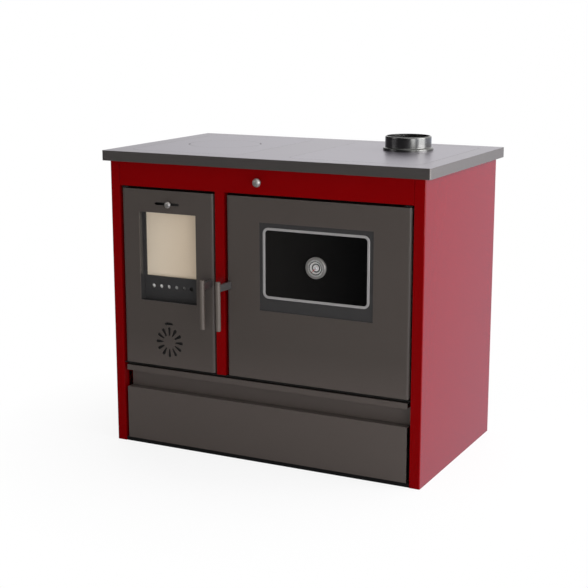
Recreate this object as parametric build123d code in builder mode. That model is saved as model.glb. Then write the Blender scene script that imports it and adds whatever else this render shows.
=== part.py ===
# Wood cookstove: a red cabinet with a fire door, an oven door, a wood drawer and a steel cooking top.
# Millimetres, +Z up, X to the right, Y to the back; the origin is on the floor at the outline's centre.
import os

from build123d import *

# Cabinet
BODY_W = 949.0
BODY_D = 558.0
SHEET = 2.0
POST_W = 29.5
POST_RETURN = 22.0
RAIL_SEAM = 0.8
BACK_FLANGE = 25.0
BACK_SHEET = 1.5
PANEL_EDGE_R = 3.0
FIT = 0.5

# Cooking top
TOP_SIDE_OVERHANG = 17.5
TOP_FRONT_OVERHANG = 15.0
TOP_BACK_OVERHANG = 17.5
TOP_EDGE = 28.5
TOP_T = 14.0
SKIRT_T = 4.0
TOP_CORNER_R = 4.0
HOB_T = 8.0
HOB_LEDGE = 10.0
HOB_CORNER_R = 30.0
HOB_FRONT_MARGIN = 45.0
HOB_BACK_MARGIN = 28.0
HOB_SIDE_MARGIN = 34.5
HOB_LEFT_W = 352.0
HOB_RIGHT_W = 382.0
HOB_FIT = 0.6
LID_D = 212.0
LID_OFFSET_X = -6.0
LID_OFFSET_Y = 8.0
LID_LEDGE = 10.0
LID_T = 4.0
LID_NOTCH_R = 6.0
LID_NOTCH_TURN = 28.0
FLUE_X = 274.0
FLUE_DEPTH = 380.0
FLUE_BORE_R = 60.0
FLUE_WALL = 5.0
FLUE_FLANGE_W = 6.0
FLUE_FLANGE_T = 8.0
FLUE_RISE = 40.0
FLUE_EDGE_R = 4.0
FLUE_FLANGE_EDGE_R = 3.0
FLUE_ROOT_R = 2.5

# Heights of the front, from the floor up
PLINTH_H = 12.0
PLINTH_SETBACK = 2.0
DRAWER_FRONT_H = 219.0
DRAWER_SIDE_GAP = 9.5
DRAWER_GAP = 10.0
DOOR_H = 504.5
DOOR_TOP_GAP = 7.5
RAIL_H = 83.0

# Doors
DOOR_GAP = 6.5
MULLION_X = -121.75
MULLION_W = 28.5
MULLION_RETURN = 25.0
DOOR_DEPTH = 26.0
DOOR_SHEET = 2.0
DOOR_EDGE_R = 8.0
LINER_T = 3.0
SEAL_INSET = 18.0
SEAL_W = 10.0
SEAL_T = 8.0
SEAL_CORNER_R = 14.0
SEAL_FIT = 0.3
FRONT_PLATE_T = 3.0
MOUTH_INSET = 2.0
HINGE_INSET = 10.0
PIN_R = 4.0
PIN_FIT = 0.05
PIN_GRIP = 14.0
HINGE_BOSS_R = 8.0
PIN_COLLAR_R = 7.0
DOOR_REST = 0.3
LUG_T = 4.0
LUG_W = 18.0

# Fire door window and air controls
WINDOW_SIDE = 56.0
WINDOW_DROP = 63.5
WINDOW_H = 253.0
REVEAL_T = 1.5
FIRE_GLASS_SIDE = 7.0
FIRE_GLASS_HEAD = 2.0
FIRE_GLASS_VIEW_H = 183.0
GLASS_LAP = 8.0
GLASS_T = 4.0
GASKET_T = 2.0
CLIP_W = 20.0
CLIP_T = 2.0
CLIP_LAP = 6.0
CLIP_FOOT = 10.0
CLIP_INSET = 40.0
AIR_HOLE_R = 5.5
AIR_HOLE_SPACING = 25.0
AIR_HOLE_COUNT = 6
AIR_HOLE_RISE = 39.0
DEFLECTOR_GAP = 2.0
DEFLECTOR_DROP = 13.0
DEFLECTOR_RISE = 10.0
DEFLECTOR_T = 1.5
DEFLECTOR_END = 4.5
SLIDE_DROP = 37.5
SLIDE_SLOT_W = 79.0
SLIDE_SLOT_H = 8.0
SLIDE_KNOB_SHIFT = 8.5
SLIDE_PLATE_W = 180.0
SLIDE_PLATE_H = 30.0
SLIDE_PLATE_T = 2.0
SLIDE_FIT = 0.3
GUIDE_LIP = 4.0
GUIDE_WALL = 3.0
GUIDE_T = 1.5
KNOB_STEM_R = 3.0
ROSETTE_Z = 313.0
ROSETTE_SLOTS = 12
ROSETTE_INNER = 21.2
ROSETTE_OUTER = 39.3
ROSETTE_INNER_R = 2.2
ROSETTE_OUTER_R = 4.7
REGISTER_R = 62.0
REGISTER_T = 1.5
REGISTER_PIN_R = 4.0
REGISTER_HEAD_R = 8.0
REGISTER_HEAD_T = 2.0
REGISTER_TURN = 15.0
TAB_RADIUS = 54.0
TAB_R = 3.0
TAB_SLOT_H = 7.0
TAB_SLOT_SPARE = 4.0
TAB_REACH = 5.0
AIR_PORT_R = 44.0

# Oven door window and thermometer
OVEN_WINDOW_LEFT = 0.0
OVEN_WINDOW_SIDE = 10.5
OVEN_WINDOW_DROP = 67.5
OVEN_PLATE_LAP = 10.0
TRIM_W = 313.5
TRIM_H = 194.5
TRIM_SILL = 35.0
TRIM_HEAD = 12.5
TRIM_BAND = 7.0
TRIM_R = 17.0
TRIM_EDGE_R = 1.0
OVEN_GLASS_LAP = 4.0
OVEN_GLASS_FIT = 0.3
RETAINER_T = 1.5
RETAINER_BAND = 8.0
RETAINER_LAP = 5.0
DIAL_R = 25.0
DIAL_SHIFT = 3.0
CASE_R = 29.0
CASE_PROUD = 6.0
CASE_BODY_R = 22.0
CASE_BODY_DEPTH = 8.0
CASE_LIP = 2.0
CASE_LIP_T = 1.0
DIAL_T = 0.8
LENS_T = 1.2
NEEDLE_LEN = 19.0
NEEDLE_TAIL = 6.0
NEEDLE_W = 1.6
NEEDLE_T = 0.6
NEEDLE_HUB_R = 3.0
NEEDLE_PIN_R = 1.0
NEEDLE_START = 225.0
STEM_R = 3.0
STEM_DEPTH = 45.0

# Handles and latches
HANDLE_INSET = 9.0
HANDLE_Z = 497.5
HANDLE_STANDOFF = 57.0
BAR_R = 7.0
BAR_SHIFT = 5.0
BAR_BOTTOM = 379.0
BAR_TOP = 516.0
BAR_CHAMFER = 1.0
ARM_W = 10.0
ARM_H = 20.0
ARM_CLEAR = 1.0
ARM_EDGE_R = 2.0
SPINDLE_R = 4.0
SPINDLE_TUBE_R = 6.0
LATCH_T = 4.0
LATCH_CLEAR = 1.5
LATCH_HUB_R = 8.0
LATCH_W = 10.0
LATCH_MEET_GAP = 4.0
SPINDLE_END = 1.0

# Drawer
DRAWER_LIP_H = 15.0
DRAWER_RECESS_H = 50.5
DRAWER_RECESS_D = 28.0
DRAWER_RETURN = 34.0
DRAWER_SHEET = 2.0
DRAWER_BOX_SHEET = 1.5
DRAWER_BOX_D = 490.0
RAIL_BAR_W = 20.0
RAIL_BAR_H = 12.0
RAIL_BAR_INSET = 60.0
RAIL_BAR_SETBACK = 4.0
RAIL_FIT = 0.3

# Inside
BASE_T = 3.0
DECK_T = 3.0
DECK_SETBACK = 2.0
DECK_GAP = 2.0
WALL_T = 2.0
BRICK_T = 30.0
BRICK_H = 300.0
SHELL_BACK_SPACE = 21.5
RIGHT_CHANNEL = 47.5
OVEN_DEPTH = 420.0
OVEN_FLOOR = 300.0
OVEN_RIB_W = 10.0
OVEN_RIB_T = 6.0
RACK_Z = 500.0
RACK_FRAME_R = 3.0
RACK_WIRE_R = 2.0
RACK_WIRES = 15
RACK_DEPTH = 390.0
RACK_FIT = 2.0
RACK_OVERHANG = 12.0
RACK_WIRE_RISE = 3.6
PARTITION_T = 4.0
GRATE_Z = 385.0
GRATE_FRAME_T = 6.0
GRATE_SIDE_GAP = 20.0
GRATE_D = 304.0
GRATE_T = 14.0
GRATE_LAP = 10.0
GRATE_SLOTS = 9
GRATE_SLOT_W = 8.0
GRATE_RIM = 14.0
ASH_PAN_SIDE_GAP = 8.0
ASH_PAN_D = 370.0
ASH_PAN_H = 90.0
ASH_PAN_SHEET = 1.5
ASH_PAN_FRONT_GAP = 20.0

# Flue damper
DAMPER_X = 0.0
DAMPER_RISE = 33.0
DAMPER_DEPTH = 298.0
DAMPER_ROD_R = 4.0
DAMPER_OPEN_W = 110.0
DAMPER_OPEN_H = 80.0
DAMPER_LAP = 8.0
DAMPER_PLATE_T = 3.0
DAMPER_SEAT_GAP = 0.3
GUIDE_NECK_R = 6.0
GUIDE_FLANGE_R = 10.0
GUIDE_FLANGE_T = 3.0
GUIDE_LENGTH = 12.0
KNOB_HEAD_R = 12.0
KNOB_NECK_R = 6.5
KNOB_LENGTH = 21.0
KNOB_CLEAR = 2.0
KNOB_SOCKET = 14.0
AIR_KNOB_HEAD_R = 9.5
AIR_KNOB_NECK_R = 5.0
AIR_KNOB_LENGTH = 15.0
AIR_KNOB_CLEAR = 1.5

# Outline of both knobs, as shares of their lengths
KNOB_NECK = 0.3
KNOB_RIM = 0.5

# Back panel
VENT_W = 60.0
VENT_H = 6.0
VENT_COLUMNS = 6
VENT_ROWS = 4
VENT_SPACING_X = 120.0
VENT_SPACING_Z = 18.0
VENT_LOW_Z = 120.0
VENT_HIGH_Z = 700.0
SCREW_HEAD_R = 4.0
SCREW_HEAD_T = 2.5
SCREW_SHANK_R = 1.8
SCREW_SHANK = 8.0
SCREW_ROWS = 5
SCREW_SPACING = 180.0

# Places worked out from the sizes above
front_y = -(BODY_D + TOP_BACK_OVERHANG - HANDLE_STANDOFF - BAR_R) / 2
half_w = BODY_W / 2
panel_inner = half_w - SHEET
post_inner = half_w - POST_W
back_inner = BODY_D - SHEET - BACK_SHEET
drawer_top = PLINTH_H + DRAWER_FRONT_H
door_bottom = drawer_top + DRAWER_GAP
door_top = door_bottom + DOOR_H
rail_bottom = door_top + DOOR_TOP_GAP
top_under = rail_bottom + RAIL_H
height = top_under + TOP_T
skirt_bottom = height - TOP_EDGE
deck_top = door_bottom - DECK_GAP
deck_bottom = deck_top - DECK_T
door_z = (door_bottom, door_top)
mullion_x = (MULLION_X - MULLION_W / 2, MULLION_X + MULLION_W / 2)
fire_x = (-post_inner + DOOR_GAP, mullion_x[0] - DOOR_GAP)
oven_x = (mullion_x[1] + DOOR_GAP, post_inner - DOOR_GAP)
fire_mid = (fire_x[0] + fire_x[1]) / 2
plate_front = DOOR_DEPTH + SEAL_T
plate_back = plate_front + FRONT_PLATE_T
mouth_inset = SEAL_INSET + SEAL_W + MOUTH_INSET
fire_mouth_x = (fire_x[0] + mouth_inset, fire_x[1] - mouth_inset)
oven_mouth_x = (oven_x[0] + mouth_inset, oven_x[1] - mouth_inset)
mouth_z = (door_bottom + mouth_inset, door_top - mouth_inset)
oven_z = (OVEN_FLOOR, mouth_z[1])
oven_roof = oven_z[1] + WALL_T
shell_back = back_inner - SHELL_BACK_SPACE
shell_left = fire_mouth_x[0] - MOUTH_INSET - BRICK_T
partition_left = fire_mouth_x[1] + MOUTH_INSET + BRICK_T
shell_right = oven_mouth_x[1] + WALL_T + RIGHT_CHANNEL
hinge_x = {"fire": fire_x[0] + HINGE_INSET, "oven": oven_x[1] - HINGE_INSET}
handle_x = {"fire": fire_x[1] - HANDLE_INSET, "oven": oven_x[0] + HANDLE_INSET}
bar_x = {"fire": handle_x["fire"] + BAR_SHIFT, "oven": handle_x["oven"] - BAR_SHIFT}
hob_front = HOB_FRONT_MARGIN
hob_back = BODY_D - HOB_BACK_MARGIN
hob_mid_depth = (hob_front + hob_back) / 2
hob_d = hob_back - hob_front
hob_left_x = -half_w + HOB_SIDE_MARGIN + HOB_LEFT_W / 2
hob_right_x = half_w - HOB_SIDE_MARGIN - HOB_RIGHT_W / 2
flue_outer_r = FLUE_BORE_R + FLUE_WALL
window_x = (fire_x[0] + WINDOW_SIDE, fire_x[1] - WINDOW_SIDE)
view_x = (window_x[0] + FIRE_GLASS_SIDE, window_x[1] - FIRE_GLASS_SIDE)
glass_x = (view_x[0] - GLASS_LAP, view_x[1] + GLASS_LAP)
window_z = (door_top - WINDOW_DROP - WINDOW_H, door_top - WINDOW_DROP)
view_top = window_z[1] - FIRE_GLASS_HEAD
view_z = (view_top - FIRE_GLASS_VIEW_H, view_top)
glass_z = (view_z[0] - GLASS_LAP, view_z[1] + GLASS_LAP)
air_hole_z = window_z[0] + AIR_HOLE_RISE
glass_front = DOOR_DEPTH + GASKET_T
glass_back = glass_front + GLASS_T
oven_window_x = (OVEN_WINDOW_LEFT, OVEN_WINDOW_LEFT + TRIM_W + 2 * OVEN_WINDOW_SIDE)
oven_window_top = door_top - OVEN_WINDOW_DROP
oven_window_z = (oven_window_top - TRIM_HEAD - TRIM_H - TRIM_SILL, oven_window_top)
trim_x = (oven_window_x[0] + oven_window_x[1]) / 2
dial_x = trim_x + DIAL_SHIFT
trim_z = oven_window_z[0] + TRIM_SILL + TRIM_H / 2
oven_glass_front = DOOR_SHEET + OVEN_GLASS_FIT
oven_glass_back = oven_glass_front + GLASS_T
slide_front = DOOR_SHEET + SLIDE_FIT
register_front = DOOR_SHEET + SLIDE_FIT
slide_knob_x = fire_mid + SLIDE_KNOB_SHIFT
slide_z = door_top - SLIDE_DROP
damper_z = rail_bottom + DAMPER_RISE
damper_front = DAMPER_DEPTH - DAMPER_SEAT_GAP - DAMPER_PLATE_T
drawer_box_front = DRAWER_RECESS_D + DRAWER_SHEET
tab_turn = 90.0 + REGISTER_TURN / 2

os.makedirs("parts", exist_ok=True)


def keep(piece, label):
    """Names a finished piece and writes it."""
    piece.part.label = label
    export_step(piece.part, f"parts/{label}.step")


def block(x, depth, z, mode=Mode.ADD):
    """A box between two limits on each axis; depth counts back from the front face."""
    with Locations(((x[0] + x[1]) / 2, front_y + (depth[0] + depth[1]) / 2, (z[0] + z[1]) / 2)):
        Box(x[1] - x[0], depth[1] - depth[0], z[1] - z[0], mode=mode)


def upright(depth):
    """Upright drawing plane at a depth: x to the right, y up; a negative extrusion goes back."""
    return Plane(origin=(0, front_y + depth, 0), x_dir=(1, 0, 0), z_dir=(0, -1, 0))


def level(z):
    """Level drawing plane at a height, with its centre on the front face."""
    return Plane(origin=(0, front_y, z))


def rod_back(x, z, depth, radius, mode=Mode.ADD):
    """A round bar that runs front to back."""
    with BuildSketch(upright(depth[0])) as section:
        with Locations((x, z)):
            Circle(radius)
    extrude(section.sketch, amount=depth[0] - depth[1], mode=mode)


def rod_up(x, depth, z, radius, mode=Mode.ADD):
    """A round bar that stands upright."""
    with BuildSketch(level(z[0])) as section:
        with Locations((x, depth)):
            Circle(radius)
    extrude(section.sketch, amount=z[1] - z[0], mode=mode)


def ring_plate(mid, outer, inner, corner, depth):
    """A flat frame with rounded corners; depth gives its front and back."""
    with BuildSketch(upright(depth[0])) as section:
        with Locations(mid):
            RectangleRounded(outer[0], outer[1], corner)
            RectangleRounded(
                inner[0], inner[1], corner - (outer[0] - inner[0]) / 2, mode=Mode.SUBTRACT
            )
    extrude(section.sketch, amount=depth[0] - depth[1])


def turned_knob(x, z, front, head_r, neck_r, length):
    """A mushroom-shaped knob whose neck starts at a depth and whose domed head points forward."""
    spin = Plane(origin=(x, front_y + front, z), x_dir=(1, 0, 0), z_dir=(0, 0, 1))
    with BuildSketch(spin) as section:
        with BuildLine():
            rim = length * KNOB_RIM
            Polyline((0, -length), (0, 0), (neck_r, 0), (neck_r, -length * KNOB_NECK), (head_r, -rim))
            EllipticalCenterArc((0, -rim), head_r, length - rim, start_angle=270, arc_size=90)
        make_face()
    revolve(section.sketch, axis=Axis((x, front_y, z), (0, 1, 0)))


# Base tray, a folded plate that stands on the floor
with BuildPart() as base_tray:
    block((-panel_inner, panel_inner), (POST_RETURN + FIT, back_inner), (0, BASE_T))
    block((FIT - post_inner, post_inner - FIT), (PLINTH_SETBACK, POST_RETURN + FIT), (0, BASE_T))
    block(
        (FIT - post_inner, post_inner - FIT),
        (PLINTH_SETBACK, PLINTH_SETBACK + BASE_T),
        (0, PLINTH_H - FIT),
    )
    block((-panel_inner, panel_inner), (back_inner - BASE_T, back_inner), (0, PLINTH_H))
keep(base_tray, "base_tray")

# Side panels, each one sheet folded to a front post and a rear flange
for side, label in ((-1, "left_side_panel"), (1, "right_side_panel")):
    with BuildPart() as side_panel:
        block(sorted((side * panel_inner, side * half_w)), (0, BODY_D), (0, top_under))
        block(sorted((side * post_inner, side * half_w)), (0, SHEET), (0, top_under))
        block(sorted((side * post_inner, side * (post_inner + SHEET))), (0, POST_RETURN), (0, top_under))
        block(
            sorted((side * (half_w - BACK_FLANGE), side * half_w)),
            (BODY_D - SHEET, BODY_D),
            (0, top_under),
        )
        outer_edges = edges().filter_by(Axis.Z).group_by(Axis.X)[-1 if side > 0 else 0]
        fillet(outer_edges.sort_by(Axis.Y)[0], PANEL_EDGE_R)
        with BuildSketch(upright(BODY_D - SHEET)):
            with Locations((side * (half_w - BACK_FLANGE / 2), height / 2)):
                with GridLocations(BACK_FLANGE, SCREW_SPACING, 1, SCREW_ROWS):
                    Circle(SCREW_SHANK_R)
        extrude(amount=-SHEET, mode=Mode.SUBTRACT)
    keep(side_panel, label)

# Back panel with rows of vent slots
with BuildPart() as back_panel:
    block((-panel_inner, panel_inner), (back_inner, BODY_D - SHEET), (0, top_under))
    for vent_z in (VENT_LOW_Z, VENT_HIGH_Z):
        with BuildSketch(upright(back_inner)):
            with Locations((0, vent_z)):
                with GridLocations(VENT_SPACING_X, VENT_SPACING_Z, VENT_COLUMNS, VENT_ROWS):
                    SlotOverall(VENT_W, VENT_H)
        extrude(amount=-BACK_SHEET, mode=Mode.SUBTRACT)
    for side in (-1, 1):
        with BuildSketch(upright(back_inner)):
            with Locations((side * (half_w - BACK_FLANGE / 2), height / 2)):
                with GridLocations(BACK_FLANGE, SCREW_SPACING, 1, SCREW_ROWS):
                    Circle(SCREW_SHANK_R)
        extrude(amount=-BACK_SHEET, mode=Mode.SUBTRACT)
keep(back_panel, "back_panel")

# Screws that hold the back panel to the rear flanges
with BuildPart() as back_panel_screws:
    for side in (-1, 1):
        screw_x = side * (half_w - BACK_FLANGE / 2)
        for row in range(SCREW_ROWS):
            screw_z = height / 2 + (row - (SCREW_ROWS - 1) / 2) * SCREW_SPACING
            rod_back(screw_x, screw_z, (BODY_D - SCREW_SHANK, BODY_D), SCREW_SHANK_R)
            rod_back(screw_x, screw_z, (BODY_D, BODY_D + SCREW_HEAD_T), SCREW_HEAD_R)
keep(back_panel_screws, "back_panel_screws")

# Top rail between the posts, folded at its top and bottom
with BuildPart() as top_rail:
    block((RAIL_SEAM - post_inner, post_inner - RAIL_SEAM), (0, SHEET), (rail_bottom, top_under))
    block((-post_inner, post_inner), (0, POST_RETURN), (rail_bottom, rail_bottom + SHEET))
    block((-post_inner, post_inner), (0, POST_RETURN), (top_under - SHEET, top_under))
    rod_back(DAMPER_X, damper_z, (0, SHEET), GUIDE_NECK_R, mode=Mode.SUBTRACT)
keep(top_rail, "top_rail")

# Mullion between the doors; the latches close behind its folded edges
with BuildPart() as mullion:
    block(mullion_x, (0, MULLION_RETURN), (deck_top, rail_bottom))
    block(
        (mullion_x[0] + SHEET, mullion_x[1] - SHEET),
        (SHEET, MULLION_RETURN),
        (deck_top, rail_bottom),
        mode=Mode.SUBTRACT,
    )
keep(mullion, "mullion")

# Deck that carries the fire, the oven and the lower hinge pins
with BuildPart() as deck:
    block((-panel_inner, panel_inner), (POST_RETURN + FIT, back_inner), (deck_bottom, deck_top))
    block(
        (FIT - post_inner, post_inner - FIT), (DECK_SETBACK, POST_RETURN + FIT), (deck_bottom, deck_top)
    )
    for pin_x in hinge_x.values():
        rod_up(pin_x, HINGE_INSET, (deck_bottom, deck_top), PIN_R, mode=Mode.SUBTRACT)
keep(deck, "deck")

# Front plate that both doors close on, with the fire mouth and the oven mouth
with BuildPart() as body_front_plate:
    block((-panel_inner, panel_inner), (plate_front, plate_back), (deck_top, top_under))
    block(fire_mouth_x, (plate_front, plate_back), mouth_z, mode=Mode.SUBTRACT)
    block(oven_mouth_x, (plate_front, plate_back), oven_z, mode=Mode.SUBTRACT)
    rod_back(DAMPER_X, damper_z, (plate_front, plate_back), DAMPER_ROD_R + FIT, mode=Mode.SUBTRACT)
keep(body_front_plate, "body_front_plate")

# Inner shell, one sheet folded round the left, back and right of the fire and oven
with BuildPart() as inner_shell:
    block((shell_left - WALL_T, shell_right + WALL_T), (plate_back, shell_back), (deck_top, top_under))
    block(
        (shell_left, shell_right),
        (plate_back, shell_back - WALL_T),
        (deck_top, top_under),
        mode=Mode.SUBTRACT,
    )
keep(inner_shell, "inner_shell")

# Fire partition; the smoke leaves over its low front half
with BuildPart() as fire_partition:
    partition_x = (partition_left, partition_left + PARTITION_T)
    block(partition_x, (plate_back, shell_back - WALL_T), (deck_top, top_under))
    block(partition_x, (plate_back, DAMPER_DEPTH), (oven_roof, top_under), mode=Mode.SUBTRACT)
keep(fire_partition, "fire_partition")

# Flue baffle with the bypass opening that the damper closes
with BuildPart() as flue_baffle:
    baffle_x = (partition_left + PARTITION_T, shell_right)
    block(baffle_x, (DAMPER_DEPTH, DAMPER_DEPTH + WALL_T), (oven_roof, top_under))
    block(
        (DAMPER_X - DAMPER_OPEN_W / 2, DAMPER_X + DAMPER_OPEN_W / 2),
        (DAMPER_DEPTH, DAMPER_DEPTH + WALL_T),
        (damper_z - DAMPER_OPEN_H / 2, damper_z + DAMPER_OPEN_H / 2),
        mode=Mode.SUBTRACT,
    )
keep(flue_baffle, "flue_baffle")

# Oven box, open to the front, with a rib on each side for the rack
with BuildPart() as oven_box:
    block(
        (oven_mouth_x[0] - WALL_T, oven_mouth_x[1] + WALL_T),
        (plate_back, plate_back + OVEN_DEPTH + WALL_T),
        (oven_z[0] - WALL_T, oven_roof),
    )
    block(oven_mouth_x, (plate_back, plate_back + OVEN_DEPTH), oven_z, mode=Mode.SUBTRACT)
    rib_depth = (plate_back, plate_back + OVEN_DEPTH)
    rib_z = (RACK_Z - RACK_FRAME_R - OVEN_RIB_T, RACK_Z - RACK_FRAME_R)
    block((oven_mouth_x[0], oven_mouth_x[0] + OVEN_RIB_W), rib_depth, rib_z)
    block((oven_mouth_x[1] - OVEN_RIB_W, oven_mouth_x[1]), rib_depth, rib_z)
keep(oven_box, "oven_box")

# Oven rack, wires on two cross rods
with BuildPart() as oven_rack:
    rack_x = (oven_mouth_x[0] + RACK_FIT, oven_mouth_x[1] - RACK_FIT)
    rack_depth = (plate_back + RACK_FIT, plate_back + RACK_FIT + RACK_DEPTH)
    rack_side = Plane(origin=(rack_x[0], front_y, 0), x_dir=(0, 1, 0), z_dir=(1, 0, 0))
    with BuildSketch(rack_side):
        for cross_depth in (rack_depth[0] + RACK_OVERHANG, rack_depth[1] - RACK_OVERHANG):
            with Locations((cross_depth, RACK_Z)):
                Circle(RACK_FRAME_R)
    extrude(amount=rack_x[1] - rack_x[0])
    wire_pitch = (rack_x[1] - rack_x[0] - 2 * RACK_OVERHANG) / (RACK_WIRES - 1)
    wire_mid = (rack_x[0] + rack_x[1]) / 2
    with BuildSketch(upright(rack_depth[0])):
        with Locations((wire_mid, RACK_Z + RACK_WIRE_RISE)):
            with GridLocations(wire_pitch, wire_pitch, RACK_WIRES, 1):
                Circle(RACK_WIRE_R)
    extrude(amount=-RACK_DEPTH)
keep(oven_rack, "oven_rack")

# Grate frame across the fire chamber, with the ash opening
grate_mid_depth = (plate_back + shell_back - WALL_T) / 2
grate_x = (shell_left + BRICK_T + GRATE_SIDE_GAP, partition_left - BRICK_T - GRATE_SIDE_GAP)
with BuildPart() as grate_frame:
    frame_z = (GRATE_Z, GRATE_Z + GRATE_FRAME_T)
    block((shell_left, partition_left), (plate_back, shell_back - WALL_T), frame_z)
    block(
        (grate_x[0] + GRATE_LAP, grate_x[1] - GRATE_LAP),
        (grate_mid_depth - GRATE_D / 2 + GRATE_LAP, grate_mid_depth + GRATE_D / 2 - GRATE_LAP),
        frame_z,
        mode=Mode.SUBTRACT,
    )
keep(grate_frame, "grate_frame")

# Cast grate that lies on the frame
grate_z = GRATE_Z + GRATE_FRAME_T
with BuildPart() as grate:
    block(
        grate_x,
        (grate_mid_depth - GRATE_D / 2, grate_mid_depth + GRATE_D / 2),
        (grate_z, grate_z + GRATE_T),
    )
    slot_pitch = (grate_x[1] - grate_x[0] - 2 * GRATE_RIM) / GRATE_SLOTS
    slot_length = (GRATE_D - 3 * GRATE_RIM) / 2
    with BuildSketch(level(grate_z)):
        with Locations((fire_mid, grate_mid_depth)):
            with GridLocations(slot_pitch, slot_length + GRATE_RIM, GRATE_SLOTS, 2):
                SlotOverall(slot_length, GRATE_SLOT_W, rotation=90)
    extrude(amount=GRATE_T, mode=Mode.SUBTRACT)
keep(grate, "grate")

# Fire bricks on the frame, left, right and back
with BuildPart() as fire_bricks:
    brick_z = (grate_z, grate_z + BRICK_H)
    brick_back = shell_back - WALL_T
    block((shell_left, shell_left + BRICK_T), (plate_back, brick_back), brick_z)
    block((partition_left - BRICK_T, partition_left), (plate_back, brick_back), brick_z)
    block(
        (shell_left + BRICK_T + FIT, partition_left - BRICK_T - FIT),
        (brick_back - BRICK_T, brick_back),
        brick_z,
    )
keep(fire_bricks, "fire_bricks")

# Ash pan on the deck under the grate
with BuildPart() as ash_pan:
    pan_x = (fire_mouth_x[0] + ASH_PAN_SIDE_GAP, fire_mouth_x[1] - ASH_PAN_SIDE_GAP)
    pan_depth = (plate_back + ASH_PAN_FRONT_GAP, plate_back + ASH_PAN_FRONT_GAP + ASH_PAN_D)
    block(pan_x, pan_depth, (deck_top, deck_top + ASH_PAN_H))
    offset(amount=-ASH_PAN_SHEET, openings=faces().sort_by(Axis.Z)[-1])
keep(ash_pan, "ash_pan")

# Cooking top frame with a deep edge and two rebated openings
hob_openings = ((hob_left_x, HOB_LEFT_W), (hob_right_x, HOB_RIGHT_W))
with BuildPart() as top_frame:
    frame_x = (-half_w - TOP_SIDE_OVERHANG, half_w + TOP_SIDE_OVERHANG)
    frame_depth = (-TOP_FRONT_OVERHANG, BODY_D + TOP_BACK_OVERHANG)
    block(frame_x, frame_depth, (skirt_bottom, height))
    fillet(edges().filter_by(Axis.Z), TOP_CORNER_R)
    block(
        (frame_x[0] + SKIRT_T, frame_x[1] - SKIRT_T),
        (frame_depth[0] + SKIRT_T, frame_depth[1] - SKIRT_T),
        (skirt_bottom, top_under),
        mode=Mode.SUBTRACT,
    )
    for opening_x, opening_w in hob_openings:
        with BuildSketch(level(height)):
            with Locations((opening_x, hob_mid_depth)):
                RectangleRounded(opening_w, hob_d, HOB_CORNER_R)
        extrude(amount=-HOB_T, mode=Mode.SUBTRACT)
        with BuildSketch(level(height)):
            with Locations((opening_x, hob_mid_depth)):
                RectangleRounded(
                    opening_w - 2 * HOB_LEDGE, hob_d - 2 * HOB_LEDGE, HOB_CORNER_R - HOB_LEDGE
                )
        extrude(amount=-TOP_T, mode=Mode.SUBTRACT)
keep(top_frame, "top_frame")

# Left hob plate with a stepped seat for the lid
lid_x = hob_left_x + LID_OFFSET_X
lid_depth = hob_mid_depth + LID_OFFSET_Y
lid_under = height - LID_T
with BuildPart() as hob_plate_left:
    with BuildSketch(level(height)):
        with Locations((hob_left_x, hob_mid_depth)):
            RectangleRounded(HOB_LEFT_W - 2 * HOB_FIT, hob_d - 2 * HOB_FIT, HOB_CORNER_R - HOB_FIT)
    extrude(amount=-HOB_T)
    rod_up(lid_x, lid_depth, (lid_under, height), LID_D / 2 + HOB_FIT, mode=Mode.SUBTRACT)
    rod_up(lid_x, lid_depth, (height - HOB_T, height), LID_D / 2 - LID_LEDGE, mode=Mode.SUBTRACT)
keep(hob_plate_left, "hob_plate_left")

# Round lid that lifts out of the left hob plate, with two notches for the lifter
with BuildPart() as hob_lid:
    rod_up(lid_x, lid_depth, (lid_under, height), LID_D / 2)
    rod_up(lid_x, lid_depth, (height - HOB_T, lid_under), LID_D / 2 - LID_LEDGE - HOB_FIT)
    with BuildSketch(level(height)):
        with Locations((lid_x, lid_depth)):
            with PolarLocations(LID_D / 2, 2, start_angle=LID_NOTCH_TURN):
                Circle(LID_NOTCH_R)
    extrude(amount=-LID_T, mode=Mode.SUBTRACT)
keep(hob_lid, "hob_lid")

# Right hob plate with the flue opening
with BuildPart() as hob_plate_right:
    with BuildSketch(level(height)):
        with Locations((hob_right_x, hob_mid_depth)):
            RectangleRounded(HOB_RIGHT_W - 2 * HOB_FIT, hob_d - 2 * HOB_FIT, HOB_CORNER_R - HOB_FIT)
    extrude(amount=-HOB_T)
    rod_up(FLUE_X, FLUE_DEPTH, (height - HOB_T, height), flue_outer_r, mode=Mode.SUBTRACT)
keep(hob_plate_right, "hob_plate_right")

# Flue collar, a cast ring with a round rim and a base flange; the flue pipe slides inside
with BuildPart() as flue_collar:
    rod_up(FLUE_X, FLUE_DEPTH, (height - HOB_T, height + FLUE_RISE), flue_outer_r)
    rod_up(FLUE_X, FLUE_DEPTH, (height, height + FLUE_FLANGE_T), flue_outer_r + FLUE_FLANGE_W)
    flange_rim = edges().filter_by(GeomType.CIRCLE).group_by(Axis.Z)[-2].sort_by(SortBy.RADIUS)[-1]
    fillet(flange_rim, FLUE_FLANGE_EDGE_R)
    root = edges().filter_by(GeomType.CIRCLE).group_by(Axis.Z)[-2].sort_by(SortBy.RADIUS)[0]
    fillet(root, FLUE_ROOT_R)
    fillet(edges().filter_by(GeomType.CIRCLE).sort_by(Axis.Z)[-1], FLUE_EDGE_R)
    rod_up(FLUE_X, FLUE_DEPTH, (height - HOB_T, height + FLUE_RISE), FLUE_BORE_R, mode=Mode.SUBTRACT)
keep(flue_collar, "flue_collar")

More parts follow.
